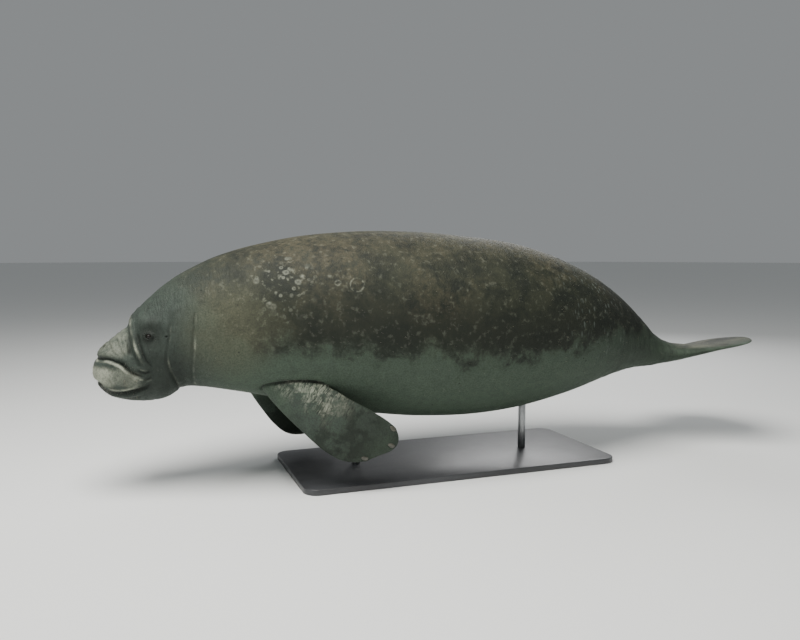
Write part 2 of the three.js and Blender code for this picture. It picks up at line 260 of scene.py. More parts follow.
# The lips' two lobes at the front of the snout: middle, reach and height of each, and how far
# the lobes' upper and lower edges draw back
LIP_LOBE = {"y": 0.052, "z": 0.276, "reach_y": 0.040, "reach_z": 0.034, "height": 0.007}
LIP_EDGES = {"upper": (0.319, 0.011, 0.007), "lower": (0.240, 0.012, 0.008)}
MIDDLE_REACH = 0.024  # how far from the middle a line's rise goes

FOLD_MARGIN = 0.07  # how far from its points a fold still has an effect
FOLD_END = 0.006  # how fast a fold dies out beyond its ends

NOSTRIL = {"y": 0.031, "z": 0.356, "radius": 0.014, "width": 0.0042, "depth": 0.008}
LIP_CLEFT = {"width": 0.0055, "flare": 0.016, "depth": 0.009, "top": 0.322, "bottom": 0.236}
EAR = {"x": -1.246, "z": 0.411, "radius": 0.0026, "depth": 0.007}
EYE_PROUD = 0.0045  # how far an eye stands out of the solid head
LID_PROFILE = {  # distance from the middle of the eye, and the skin's height there
    "reach": [0.0, 0.0066, 0.0078, 0.0092, 0.0112, 0.0140, 0.0170, 0.0210, 0.0260, 0.0340],
    "height": [-0.010, -0.010, 0.0018, 0.0046, 0.0056, 0.0042, 0.0036, 0.0016, 0.0006, 0.0],
}

# Fine wrinkles: how fast they vary along x, y and z, their seed, and how sharp, how deep and how
# dark they are; the dark is painted shade in the wrinkle lines
WRINKLES = {
    "snout": ((46.0, 12.0, 14.0), 2.0, 5, 0.0032, 0.0),
    "cheek": ((26.0, 14.0, 12.0), 4.0, 6, 0.0016, 0.0),
    "stock": ((24.0, 7.0, 7.0), 5.0, 5, 0.0035, 0.25),
}

# The paddle's middle: its level above the belly line, where it starts to rise and how steeply,
# and its fall from left to right. Its upper face is coloured as the back is, with pale patches
# that are partly painted light from above.
PADDLE_LEVEL = 0.2345
PADDLE_BEND = 1.215
PADDLE_RISE = 0.13
PADDLE_ROLL = math.tan(math.radians(9.5))

# Areas of colour on both sides: the middle's x, distance from the animal's middle plane and
# height above the belly line, and the distances from it where the area starts and is full. The
# eye's and the cheek's areas are painted shade: dark round the eye and on the side of the head
# behind the mouth.
AREAS = {
    "shoulder": ((-0.83, 0.26, 0.60), 0.17, 0.03),
    "eye": ((-1.292, 0.128, 0.415), 0.085, 0.018),
    "cheek": ((-1.250, 0.150, 0.265), 0.15, 0.03),
    "lip_pad": ((-1.386, 0.125, 0.262), 0.036, 0.008),
    "neck": ((-1.02, 0.22, 0.43), 0.24, 0.06),
    "rump": ((0.56, 0.26, 0.50), 0.34, 0.08),
}
RIGHT_MARKS = 0.7  # how strong spots and streaks are on the right, against the left

# Ring-shaped scars on the left shoulder: middle and radius
SCARS = [
    ((-0.558, -0.319, BELLY_HEIGHT + 0.598), 0.027),
    ((-0.628, -0.300, BELLY_HEIGHT + 0.602), 0.014),
    ((-0.655, -0.285, BELLY_HEIGHT + 0.628), 0.009),
]

# Flippers: each side's root and tip, how far the blade bows outwards, then, at even steps
# towards the tip, how far the leading and the trailing edge stand from the line between root
# and tip, and half the thickness
FLIPPER_LINES = {
    "left": ((-0.888, -0.150, 0.256), (-0.409, -0.352, -0.022)),
    "right": ((-0.905, -0.150, 0.246), (-0.497, -0.352, -0.074)),
}
FLIPPER_BOW = 0.050
FLIPPER_CHORD = (-0.45, 0.05, -0.88)
LEADING = np.array([0.050, 0.092, 0.124, 0.148, 0.150, 0.120, 0.066, 0.032, 0.0])
TRAILING = np.array([0.076, 0.078, 0.076, 0.070, 0.070, 0.066, 0.055, 0.030, 0.0])
HALF_THICKNESS = np.array([0.046, 0.040, 0.033, 0.027, 0.022, 0.018, 0.013, 0.008, 0.0])
SIDES = {"left": -1, "right": 1}
FLESH_NODES = (
    "head", "neck", "torso", "tail_stock", "tail_paddle", "flipper_left", "flipper_right",
)

# How fine the skin's mesh is
SECTORS = 228  # vertices round the body
RING_SPACING = {"head": 0.0035, "neck": 0.0048, "torso": 0.0230, "tail": 0.0135}
BLADE_RINGS = 78  # rings from a flipper's root to its tip
ROOT_SHARE = 0.80  # how much of a flipper's root the opening in the body's grid takes
RELAX_MARGIN = 34  # rings and sectors round that opening whose places give way to it
RELAX_ROUNDS = 2500

# Bristles and hairs
BRISTLE_RADIUS = 0.00042
HAIR_RADIUS = 0.00026
ROOT_SUNK = 0.0012  # how deep a strand starts in the skin
BRISTLE_SEED = 5
HAIR_SEED = 11
BAKE_PATCH = 0.003  # a strand's size on the unwrapping of the skin
MAP_START = -1.52  # where along the body the unwrapping starts, and how long it is
MAP_LENGTH = 3.04
MAP_MARGIN = 0.01  # its free edge, and how much of its width and height it fills
MAP_SIZE = 0.97

ROD_ROUNDING = 0.0008  # rounding of a rod's rims
ROD_SUNK = 0.004  # how far a rod's top goes into the skin
SMOOTH_BELOW = math.radians(40)  # where stand faces meet at less, they are shaded smooth

# The camera of the photograph
CAMERA_PLACE = (-1.3963, -3.0960, 0.9341)
CAMERA_TURN = math.radians(-20.0)
CAMERA_DIP = math.radians(5.208)
CAMERA_LENS = 34.56
CAMERA_SIGHT = 200.0
SENSOR_WIDTH = 36.0

# The studio, with each light's place, aim, size and colour
FLOOR_RADIUS = 60.0
SURROUND_STRENGTH = 0.30
LIGHTS = {
    "key": ((-1.7, -1.3, 4.4), (-0.2, 0.0, 0.6), 3.2, (1.0, 0.98, 0.94)),
    "fill": ((-5.4, -3.4, 1.7), (-0.3, 0.0, 0.5), 2.4, (0.94, 0.98, 1.0)),
    "rim": ((2.6, 3.6, 2.8), (0.2, 0.0, 0.6), 2.4, (1.0, 1.0, 1.0)),
}


def colour_setting(name, description, default):
    return FloatVectorProperty(name=name, description=description, default=default, subtype="COLOR")


def length_setting(name, description, default):
    return FloatProperty(name=name, description=description, default=default, unit="LENGTH")


def power_setting(name, description, default):
    return FloatProperty(name=name, description=description, default=default, unit="POWER")


def count_setting(name, description, default):
    return IntProperty(name=name, description=description, default=default)


class SkinSettings(bpy.types.PropertyGroup):
    """Colours and relief of the hide."""

    back: colour_setting("Back", "Brown of the back", (0.031, 0.034, 0.020))
    back_shade: colour_setting("Dark patches", "Dark mottling of the back", (0.009, 0.012, 0.008))
    tan: colour_setting("Tan patches", "Brown patches of the back", (0.074, 0.063, 0.037))
    belly: colour_setting("Belly", "Grey-green of the belly", (0.060, 0.088, 0.060))
    face: colour_setting("Face", "Grey of head and neck", (0.040, 0.054, 0.044))
    # Also painted light: highlights on fold edges, the snout's top, the lip pads and the paddle's top
    pale: colour_setting("Pale skin", "Whitish lip pad, fold edges and blotches", (0.40, 0.42, 0.33))
    olive: colour_setting("Olive skin", "Lighter skin between neck and shoulder", (0.100, 0.104, 0.066))
    # Painted shade in folds, hollows, holes, round the eyes and on the cheeks; also dark skin marks
    shade_and_dark_skin: colour_setting("Creases", "Skin deep in the folds", (0.009, 0.012, 0.009))
    streak: colour_setting("Streaks", "Worn grey streaks of the rump", (0.16, 0.19, 0.17))
    wrinkle: length_setting("Wrinkle depth", "Depth of the hide's fine wrinkles", 0.0032)


class HairSettings(bpy.types.PropertyGroup):
    """Bristles of the muzzle and single hairs of the body."""

    bristle_count: count_setting("Bristles", "Bristles on the lip pads and chin", 420)
    bristle_length: length_setting("Bristle length", "Length of a muzzle bristle", 0.011)
    hair_count: count_setting("Hairs", "Single hairs over the body", 1500)
    hair_length: length_setting("Hair length", "Length of a body hair", 0.013)


class StandSettings(bpy.types.PropertyGroup):
    """The display stand."""

    corner: length_setting("Corner radius", "Radius of the board's corners", 0.06)
    edge: length_setting("Edge", "Rounding of the board's edges", 0.003)
    board: colour_setting("Board", "Lacquer of the board", (0.022, 0.023, 0.025))
    steel: colour_setting("Rods", "Steel of the rods", (0.50, 0.51, 0.52))


class StudioSettings(bpy.types.PropertyGroup):
    """Floor and light."""

    floor: colour_setting("Floor", "Colour of the floor", (0.76, 0.77, 0.76))
    sky: colour_setting("Surround", "Colour of the light all round", (0.86, 0.90, 0.92))
    key: power_setting("Key light", "Power of the light from above", 420.0)
    fill: power_setting("Fill light", "Power of the light from the camera's side", 20.0)
    rim: power_setting("Rim light", "Power of the light from behind", 90.0)


# Shapes of the body and the flippers


def through(knots, place):
    """Smooth values through evenly numbered knots."""
    last = len(knots) - 1
    row = np.clip(np.floor(place).astype(int), 0, last - 1)
    wide = np.concatenate([[2 * knots[0] - knots[1]], knots, [2 * knots[-1] - knots[-2]]])
    before, start, end, after = (wide[row + step] for step in range(4))
    step = place - row
    slope_start = (end - before) / 2
    slope_end = (after - start) / 2
    bend = 3 * (end - start) - 2 * slope_start - slope_end
    twist = slope_start + slope_end - 2 * (end - start)
    return start + step * (slope_start + step * (bend + step * twist))


def round_power(values, power):
    return np.sign(values) * np.abs(values) ** power


def eased(low, high, values):
    """0 below low, 1 above high, smooth between."""
    share = np.clip((values - low) / (high - low), 0.0, 1.0)
    return share * share * (3 - 2 * share)


def section(place):
    return [through(STATION_ROWS[:, column], place) for column in range(STATION_ROWS.shape[1])]


def swelling(points, forms):
    """Height of soft swellings at points whose z is above the belly line."""
    height = np.zeros(points.shape[:-1])
    for x, z, reach_x, reach_z, top in forms.values():
        away = ((points[..., 0] - x) / reach_x) ** 2 + ((points[..., 2] - z) / reach_z) ** 2
        height += top * np.exp(-away)
    return height


def body_skin(place, angle):
    """The body's surface as the solids have it, with z above the belly's lowest point."""
    back_x, back_z, belly_x, belly_z, half, square, roll = section(place)
    up = round_power(np.sin(angle), 2 / square)
    share = WIDEST_LEVEL + up * np.where(up > 0, 1 - WIDEST_LEVEL, WIDEST_LEVEL)
    across = half * round_power(np.cos(angle), 2 / square)
    height = (back_z - belly_z) * (share - WIDEST_LEVEL)
    turn = np.radians(-roll)
    points = np.stack(
        [
            belly_x + (back_x - belly_x) * share,
            across * np.cos(turn) - height * np.sin(turn),
            belly_z + (back_z - belly_z) * WIDEST_LEVEL + across * np.sin(turn) + height * np.cos(turn),
        ],
        -1,
    )
    points[..., 1] += np.tanh(points[..., 1] / SWELLING_SIDE) * swelling(points, SWELLINGS)
    return points


def place_and_angle(points):
    """Where points lie along the body and round it, and how far out (below 1 is inside)."""
    middle_x = (STATION_ROWS[:, 0] + STATION_ROWS[:, 2]) / 2
    place = np.interp(points[..., 0], middle_x, np.arange(len(middle_x)))
    for _ in range(4):
        back_x, back_z, belly_x, belly_z, *_ = section(place)
        share = (points[..., 2] - belly_z) / (back_z - belly_z)
        section_x = belly_x + (back_x - belly_x) * share
        place = place + (points[..., 0] - section_x) / np.interp(
            place, np.arange(len(middle_x)), np.gradient(middle_x)
        )
    back_x, back_z, belly_x, belly_z, half, square, _ = section(place)
    share = (points[..., 2] - belly_z) / (back_z - belly_z)
    up = (share - WIDEST_LEVEL) / np.where(share > WIDEST_LEVEL, 1 - WIDEST_LEVEL, WIDEST_LEVEL)
    sine = round_power(up, square / 2)
    cosine = round_power(points[..., 1] / half, square / 2)
    return place, np.arctan2(sine, cosine), np.hypot(sine, cosine)


def blade_skin(side, step, angle):
    """A flipper's surface at steps from root to tip and angles round it, from its leading edge."""
    root, tip = (np.array(end) for end in FLIPPER_LINES[side])
    axis = tip - root
    chord = np.array(FLIPPER_CHORD)
    chord = chord - axis * (chord @ axis) / (axis @ axis)
    chord /= np.linalg.norm(chord)
    inward = np.cross(axis, chord)
    inward /= np.linalg.norm(inward)
    knot = np.maximum(step, 0.0) * (len(LEADING) - 1)
    across = np.cos(angle)
    edge = np.where(across > 0, through(LEADING, knot), through(TRAILING, knot))
    along = np.sin(step * math.pi / 2)
    points = root + along[..., None] * axis + (edge * across)[..., None] * chord
    points = points + (through(HALF_THICKNESS, knot) * np.sin(angle))[..., None] * inward
    points[..., 1] -= FLIPPER_BOW * np.sin(math.pi * along)
    points[..., 1] *= -SIDES[side]
    return points


def ring_places():
    """Places along the body for the skin's rings, closest on the head."""
    names = list(STATIONS)
    ends = {"head": "throat", "neck": "neck_base", "torso": "tail_base", "tail": "tail_tip"}
    fine = np.linspace(0, len(names) - 1, 6001)
    lines = [body_skin(fine, np.full_like(fine, math.radians(turn))) for turn in (0, 60, 180, 240)]
    steps = np.mean([np.linalg.norm(np.diff(line, axis=0), axis=1) for line in lines], axis=0)
    middle = (fine[1:] + fine[:-1]) / 2
    head, neck, torso, tail = (names.index(end) for end in ends.values())
    bounds = [0, head, head + 0.3, neck - 0.5, neck + 1, torso - 1, torso, tail]
    spacing = np.interp(middle, bounds, np.repeat(list(RING_SPACING.values()), 2))
    count = np.concatenate([[0], np.cumsum(steps / spacing)])
    rings = round(count[-1])
    return np.interp(np.linspace(0, count[-1], rings + 1), count, fine)


def blade_root(side):
    """Where a flipper leaves the body: the curve's steps and angles on the blade, and its points."""
    angle = np.linspace(0, 2 * math.pi, 721)[:-1]
    step = np.linspace(-0.25, 1, 701)
    grid = blade_skin(side, *np.meshgrid(step, angle, indexing="ij"))
    inside = place_and_angle(grid)[2]
    last = inside.shape[0] - 1 - np.argmax(inside[::-1] < 1, axis=0)
    columns = np.arange(len(angle))
    depth_in, depth_out = inside[last, columns], inside[last + 1, columns]
    share = (1 - depth_in) / (depth_out - depth_in)
    steps = step[last] + share * (step[1] - step[0])
    return steps, angle, blade_skin(side, steps, angle)


def even_samples(curve, values, count):
    """Values at evenly spaced places round a closed curve."""
    closed = np.concatenate([curve, curve[:1]])
    lengths = np.concatenate([[0], np.cumsum(np.linalg.norm(np.diff(closed, axis=0), axis=1))])
    wanted = np.linspace(0, lengths[-1], count + 1)[:-1]
    return [np.interp(wanted, lengths, value) for value in values]


def rectangle_loop(first_ring, last_ring, first_sector, last_sector):
    """Index pairs round a rectangle of the body's grid."""
    rings = range(first_ring, last_ring)
    sectors = range(first_sector, last_sector)
    loop = [(first_ring, sector) for sector in sectors]
    loop += [(ring, last_sector) for ring in rings]
    loop += [(last_ring, sector) for sector in range(last_sector, first_sector, -1)]
    loop += [(ring, first_sector) for ring in range(last_ring, first_ring, -1)]
    return np.array(loop)


def turned_area(points):
    following = np.roll(points, -1, axis=0)
    return np.sum(points[:, 0] * following[:, 1] - points[:, 1] * following[:, 0])


class BladeRoot:
    """An opening in the body's grid that a flipper grows from, as a loop of grid places."""

    def __init__(self, side, places):
        steps, angles, curve = blade_root(side)
        place, turn, _ = place_and_angle(curve)
        turn = np.mod(turn, 2 * math.pi)
        ring = np.interp(place, places, np.arange(len(places)))
        sector = turn / (2 * math.pi) * SECTORS
        corners = []
        for track in (ring, sector):
            centre = (track.max() + track.min()) / 2
            reach = (track.max() - track.min()) / 2 * ROOT_SHARE
            corners += [round(centre - reach), round(centre + reach)]
        self.side = side
        self.corners = corners
        self.loop = rectangle_loop(*corners)
        tracks = [steps, np.unwrap(angles), place, turn, ring, sector]
        if turned_area(np.stack([ring, sector], -1)) * turned_area(self.loop) < 0:
            curve = curve[::-1]
            tracks = [track[::-1] for track in tracks]
        tracks[1] = np.unwrap(tracks[1])
        closing = [*tracks]
        for index, track in enumerate(tracks):
            wrap = np.sign(track[-1] - track[0]) * 2 * math.pi if index == 1 else 0
            closing[index] = np.append(track, track[0] + wrap)
        samples = even_samples(curve, closing, len(self.loop))
        grid_points = np.stack(samples[4:6], -1)
        shifts = range(len(self.loop))
        costs = [np.sum((np.roll(grid_points, -shift, axis=0) - self.loop) ** 2) for shift in shifts]
        start = int(np.argmin(costs))
        direction = np.sign(samples[1][-1] - samples[1][0])
        self.step, angle, self.place, self.turn = (np.roll(sample, -start) for sample in samples[:4])
        self.angle = np.unwrap(angle, period=2 * math.pi)
        even = direction * 2 * math.pi * np.arange(len(self.loop)) / len(self.loop)
        self.even_angle = even + np.mean(self.angle - even)

    def relax(self, place, turn):
        """Moves the grid's places so that the rectangle becomes the flipper's root."""
        first_ring, last_ring, first_sector, last_sector = self.corners
        rows = slice(first_ring - RELAX_MARGIN, last_ring + RELAX_MARGIN + 1)
        columns = slice(first_sector - RELAX_MARGIN, last_sector + RELAX_MARGIN + 1)
        ring, sector = self.loop.T
        for grid, wanted in ((place, self.place), (turn, self.turn)):
            shift = np.zeros_like(grid)
            fixed = wanted - grid[ring, sector]
            window = shift[rows, columns]
            for _ in range(RELAX_ROUNDS):
                shift[ring, sector] = fixed
                window[1:-1, 1:-1] = (
                    window[:-2, 1:-1] + window[2:, 1:-1] + window[1:-1, :-2] + window[1:-1, 2:]
                ) / 4
            shift[ring, sector] = fixed
            grid += shift

    def blade(self, root_points):
        """The flipper's rings, from the loop on the body to the tip."""
        share = (np.arange(BLADE_RINGS) / (BLADE_RINGS - 1)) ** 1.2
        step = self.step + (1 - self.step) * share[:, None]
        angle = self.angle + (self.even_angle - self.angle) * eased(0, 0.4, share)[:, None]
        points = blade_skin(self.side, step, angle)
        points = points + blade_relief(self.side, points, step, angle)
        settle = (1 - eased(0, 0.06, share))[:, None, None]
        points += settle * (root_points - points[0])
        marks = np.stack([np.maximum(step, 0.002), np.cos(angle)], -1)
        return [np.concatenate([rows[:1], rows]) for rows in (points, marks)]


# Relief of the skin


def grid_normals(points):
    """Outward directions of a ring-by-ring surface."""
    along = np.gradient(points, axis=0)
    round_it = (np.roll(points, -1, axis=1) - np.roll(points, 1, axis=1)) / 2
    normal = np.cross(along, round_it)
    length = np.linalg.norm(normal, axis=-1, keepdims=True)
    normal = normal / np.maximum(length, 1e-12)
    outward = points - points.mean(axis=1, keepdims=True)
    flip = np.sign(np.sum(normal * outward, axis=-1).sum())
    return normal * flip


def along_line(points, line):
    """Signed distance of side-view points from a line, and how near its ends fade it out."""
    knots = line["points"]
    steps = np.linspace(0, len(knots) - 1, 14 * len(knots))
    track = np.stack([through(knots[:, 0], steps), through(knots[:, 1], steps)], -1)
    ahead = np.gradient(track, axis=0)
    ahead /= np.linalg.norm(ahead, axis=1, keepdims=True)
    offset = points[:, None] - track[None]
    square = np.sum(offset**2, axis=-1)
    nearest = np.argmin(square, axis=1)
    chosen = offset[np.arange(len(points)), nearest]
    signed = ahead[nearest, 0] * chosen[:, 1] - ahead[nearest, 1] * chosen[:, 0]
    beyond = np.sqrt(np.maximum(square.min(axis=1) - signed**2, 0))
    share = nearest / (len(track) - 1)
    strength = np.exp(-((beyond / FOLD_END) ** 2))
    fade_start, fade_end = line["fades"]
    if fade_start:
        strength *= eased(0, 0.25, share)
    if fade_end:
        strength *= eased(0, 0.25, 1 - share)
    return signed, strength


def ripple(points, scale, seed=0.0):
    """Smooth unevenness between about -1 and 1."""
    shift = Vector((seed, 7.3 * seed, -3.1 * seed))
    scaled = points.reshape(-1, 3) * np.array(scale)
    values = [noise.noise(Vector(point) + shift) for point in scaled]
    return np.array(values).reshape(points.shape[:-1])


def bell(values, width):
    """1 where values are 0, falling to nothing over a width."""
    return np.exp(-((values / width) ** 2))


class Relief:
    """How far the hide stands off the solids' surface, with its dark marks of painted shade and its
    pale marks of pale skin and painted highlight.
    """

    def __init__(self, points):
        self.flat = points
        self.x, self.y, self.z = points.T
        side = np.tanh(np.abs(self.y) / SWELLING_SIDE)
        self.height = side * swelling(points, FLESH)
        self.dark = np.zeros(len(points))
        self.pale = np.zeros(len(points))
        self.front = eased(-1.40, -1.46, self.x)
        self.snub = eased(-1.425, -1.478, self.x)

    def paint_shade(self, marks):
        self.dark = np.maximum(self.dark, marks)

    def fold(self, line):
        """One fold, uneven along its length, with its marks: painted shade in it, and pale skin and
        painted highlight along it.
        """
        low = line["points"].min(axis=0) - FOLD_MARGIN
        high = line["points"].max(axis=0) + FOLD_MARGIN
        near = (self.x > low[0]) & (self.x < high[0]) & (self.z > low[1]) & (self.z < high[1])
        flat = self.flat[near]
        rise = line["rise"] * bell(flat[:, 1], MIDDLE_REACH)
        signed, strength = along_line(np.stack([flat[:, 0], flat[:, 2] - rise], -1), line)
        strength *= 0.85 + 0.35 * ripple(flat, (16.0, 16.0, 16.0), 9.0)
        for offset, width, top in line["forms"]:
            self.height[near] += top * strength * bell(signed - offset, width)
        broken = np.clip(0.85 + 1.0 * ripple(flat, (30.0, 30.0, 30.0), 3.0), 0.3, 1.2)
        for mark, key, share in ((self.dark, "dark", 1.0), (self.pale, "pale", broken)):
            offset, width, amount = line[key]
            amount = amount * share * strength
            mark[near] = np.maximum(mark[near], amount * bell(signed - offset, width))

    def lips(self):
        """The cleft between the lip pads, darkened with painted shade, the pads' lobes and edges, and
        their pale skin, partly painted light and brightest at the front.
        """
        x, y, z = self.x, self.y, self.z
        top, bottom = LIP_CLEFT["top"], LIP_CLEFT["bottom"]
        window = eased(bottom - 0.01, bottom + 0.01, z)
        window *= 1 - eased(top - 0.02, top + 0.005, z)
        share = np.clip((top - z) / (top - bottom), 0, 1)
        width = LIP_CLEFT["width"] + LIP_CLEFT["flare"] * share**3
        cleft = self.front * window * bell(y, width)
        self.height -= LIP_CLEFT["depth"] * cleft
        self.paint_shade(0.7 * cleft)
        lobe = ((np.abs(y) - LIP_LOBE["y"]) / LIP_LOBE["reach_y"]) ** 2
        lobe += ((z - LIP_LOBE["z"]) / LIP_LOBE["reach_z"]) ** 2
        self.height += LIP_LOBE["height"] * self.snub * np.exp(-lobe)
        for level, reach, depth in LIP_EDGES.values():
            self.height -= depth * self.snub * bell(z - level, reach)
        slope = 0.35 * np.clip(x + 1.40, 0, 1)
        pad = eased(-1.30, -1.36, x) * np.exp(-(((z - 0.262 + slope) / 0.040) ** 4))
        pale = (0.42 + 0.30 * eased(-1.42, -1.478, x)) * pad
        self.pale = np.maximum(self.pale, pale)

    def nostrils(self):
        """Closed crescent nostrils with a soft rim, their slits darkened with painted shade."""
        ring = np.hypot(np.abs(self.y) - NOSTRIL["y"], self.z - NOSTRIL["z"])
        beyond = ring - NOSTRIL["radius"]
        above = eased(-0.004, 0.004, self.z - NOSTRIL["z"])
        slit = self.front * above * bell(beyond, NOSTRIL["width"])
        self.height -= NOSTRIL["depth"] * slit
        self.height += 0.0035 * self.front * bell(ring, 0.7 * NOSTRIL["radius"])
        self.height += 0.003 * self.front * bell(beyond - 0.008, 0.006)
        self.paint_shade(slit)

    def wrinkles(self):
        """Soft unevenness of the body, and fine wrinkles on snout, cheeks and tail stock, with
        painted shade in the stock's wrinkles.
        """
        x = self.x
        uneven = ripple(self.flat, (4.5, 4.5, 4.5), 1.0)
        self.height += 0.0028 * uneven * eased(-1.25, -0.9, x) * eased(1.3, 0.9, x)
        zones = {
            "snout": eased(-1.33, -1.37, x) * eased(0.30, 0.33, self.z),
            "cheek": eased(-1.40, -1.34, x) * eased(-1.10, -1.2, x),
            "stock": eased(0.55, 0.72, x) * eased(1.15, 0.95, x),
        }
        for name, (scale, seed, sharpness, depth, darkness) in WRINKLES.items():
            lines = 1 - np.abs(ripple(self.flat, scale, seed))
            self.height -= depth * zones[name] * lines**sharpness
            self.paint_shade(darkness * zones[name] * lines**8)


def body_relief(points):
    """The relief and the marks of the body's grid: painted shade, pale skin and painted highlight."""
    relief = Relief(points.reshape(-1, 3))
    for line in FOLDS.values():
        relief.fold(line)
    relief.lips()
    relief.nostrils()
    relief.wrinkles()
    shape = points.shape[:-1]
    return [values.reshape(shape) for values in (relief.height, relief.dark, relief.pale)]


def blade_relief(side, points, step, angle):
    """Cross wrinkles at the rear of a flipper's outer face, and the faint bones of its fingers."""
    normal = grid_normals(points)
    outer = eased(0.1, 0.5, -np.sin(angle))
    rear = eased(0.35, -0.35, np.cos(angle))
    band = eased(0.12, 0.22, step) * eased(0.56, 0.40, step)
    wave = np.sin(2 * math.pi * step / 0.026 + 2.2 * ripple(points, (14.0, 14.0, 14.0), 6.0))
    height = 0.0016 * outer * rear * band * wave
    fingers = np.cos(9.5 * np.cos(angle) + 0.6) * eased(0.35, 0.6, step) * eased(0.97, 0.85, step)
    height += 0.0012 * outer * fingers
    height += 0.0012 * ripple(points, (16.0, 16.0, 16.0), 8.0) * eased(0.2, 0.4, step)
    return normal * height[..., None]


# Meshes


def ball_grid(shape, rings, sectors):
    """A ball in a mesh, with its vertices listed ring by ring from pole to pole."""
    made = bmesh.ops.create_uvsphere(shape, u_segments=sectors, v_segments=rings, radius=1.0)["verts"]
    table = np.empty((rings + 1, sectors), object)
    for vert in made:
        ring = round(math.acos(max(-1.0, min(1.0, vert.co.z))) / math.pi * rings)
        sector = round(math.atan2(-vert.co.x, vert.co.y) / (2 * math.pi) * sectors) % sectors
        if ring in (0, rings):
            table[ring, :] = vert
        else:
            table[ring, sector] = vert
    return table


def set_places(table, points):
    for ring_verts, ring_points in zip(table, points):
        for vert, point in zip(ring_verts, ring_points):
            vert.co = point


def finished(name, shape, finish):
    """A mesh object from a bmesh, with one material, riding on the frame."""
    mesh = bpy.data.meshes.new(name)
    shape.to_mesh(mesh)
    shape.free()
    mesh.shade_smooth()
    piece = bpy.data.objects.new(name, mesh)
    bpy.context.scene.collection.objects.link(piece)
    mesh.materials.append(finish)
    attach(piece, "root")
    return piece


def eye_ball(side):
    """Centre and radius of an eye, from its solid."""
    low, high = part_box(f"eye_{side}")
    return (low + high) / 2, (high - low).length / (2 * math.sqrt(3))


def near_verts(shape, centre, reach):
    return [vert for vert in shape.verts if (vert.co - centre).length < reach]


def refine(shape, centre, reach, cuts):
    """Cuts the skin finer round a point."""
    close = set(near_verts(shape, centre, reach))
    edges = [edge for edge in shape.edges if edge.verts[0] in close and edge.verts[1] in close]
    bmesh.ops.subdivide_edges(shape, edges=edges, cuts=cuts, use_grid_fill=True)


def skin_point(shape, x, z, side):
    """The skin's vertex nearest to a side-view place."""
    wanted = Vector((x, 0, z + BELLY_HEIGHT))
    verts = [vert for vert in shape.verts if vert.co.y * side > 0 and abs(vert.co.x - x) < 0.02]
    return min(verts, key=lambda vert: (Vector((vert.co.x, 0, vert.co.z)) - wanted).length)


def shape_lids(shape, side, dark):
    """Opens the lids round an eye and folds the skin about them, painting shade round the eye."""
    centre, radius = eye_ball(side)
    refine(shape, centre, 0.040, 1)
    refine(shape, centre, 0.026, 1)
    shape.normal_update()
    close = near_verts(shape, centre, 0.036)
    outward = sum((vert.normal for vert in close), Vector()).normalized()
    level = radius - EYE_PROUD
    ahead = Vector((-1, 0, -0.25))
    forward = (ahead - outward * outward.dot(ahead)).normalized()
    across = outward.cross(forward)
    for vert in close:
        offset = vert.co - centre
        flat = Vector((offset.dot(forward), offset.dot(across)))
        reach = math.hypot(flat.x / 1.12, flat.y)
        turn = math.atan2(flat.y, flat.x)
        height = float(np.interp(reach, LID_PROFILE["reach"], LID_PROFILE["height"]))
        folds = math.cos(17 * turn + 2.0 * math.sin(3 * turn + side_phase(side)))
        height += 0.00045 * folds * float(eased(0.010, 0.014, reach) * eased(0.031, 0.018, reach))
        strength = float(eased(0.036, 0.024, reach))
        plane = level - offset.dot(outward)
        flatten = strength * float(eased(0.020, 0.010, reach))
        vert.co += outward * (height * strength + plane * flatten)
        vert[dark] = max(vert[dark], 0.92 * float(eased(0.028, 0.010, reach)))


def side_phase(side):
    return 0.0 if side == "left" else 1.7


def shape_ears(shape, side, dark):
    """A pinhole ear in the skin, its hole darkened with painted shade."""
    spot = skin_point(shape, EAR["x"], EAR["z"], SIDES[side])
    centre, outward = spot.co.copy(), spot.normal.copy()
    refine(shape, centre, 0.014, 2)
    for vert in near_verts(shape, centre, 0.016):
        reach = (vert.co - centre).length
        vert.co -= outward * EAR["depth"] * math.exp(-((reach / EAR["radius"]) ** 2))
        vert.co += outward * 0.0012 * math.exp(-(((reach - 0.0075) / 0.003) ** 2))
        vert[dark] = max(vert[dark], math.exp(-((reach / 0.0030) ** 2)))


def shape_cuticles(shape, dark):
    """Folds the skin a little round each nail, with a ring of painted shade where skin meets nail."""
    for node in sorted(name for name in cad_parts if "_nail_" in name):
        middle, directions, half = fitted(node)
        refine(shape, middle, 0.028, 1)
        refine(shape, middle, 0.021, 1)
        shape.normal_update()
        outward = [(vert, vert.normal.copy()) for vert in near_verts(shape, middle, 0.026)]
        for vert, normal in outward:
            offset = vert.co - middle
            reach = math.hypot(*(offset @ Vector(way) / size for way, size in zip(directions.T, half)))
            vert.co += normal * 0.0018 * math.exp(-(((reach - 1.24) / 0.26) ** 2))
            vert[dark] = max(vert[dark], 0.8 * math.exp(-(((reach - 1.02) / 0.16) ** 2)))


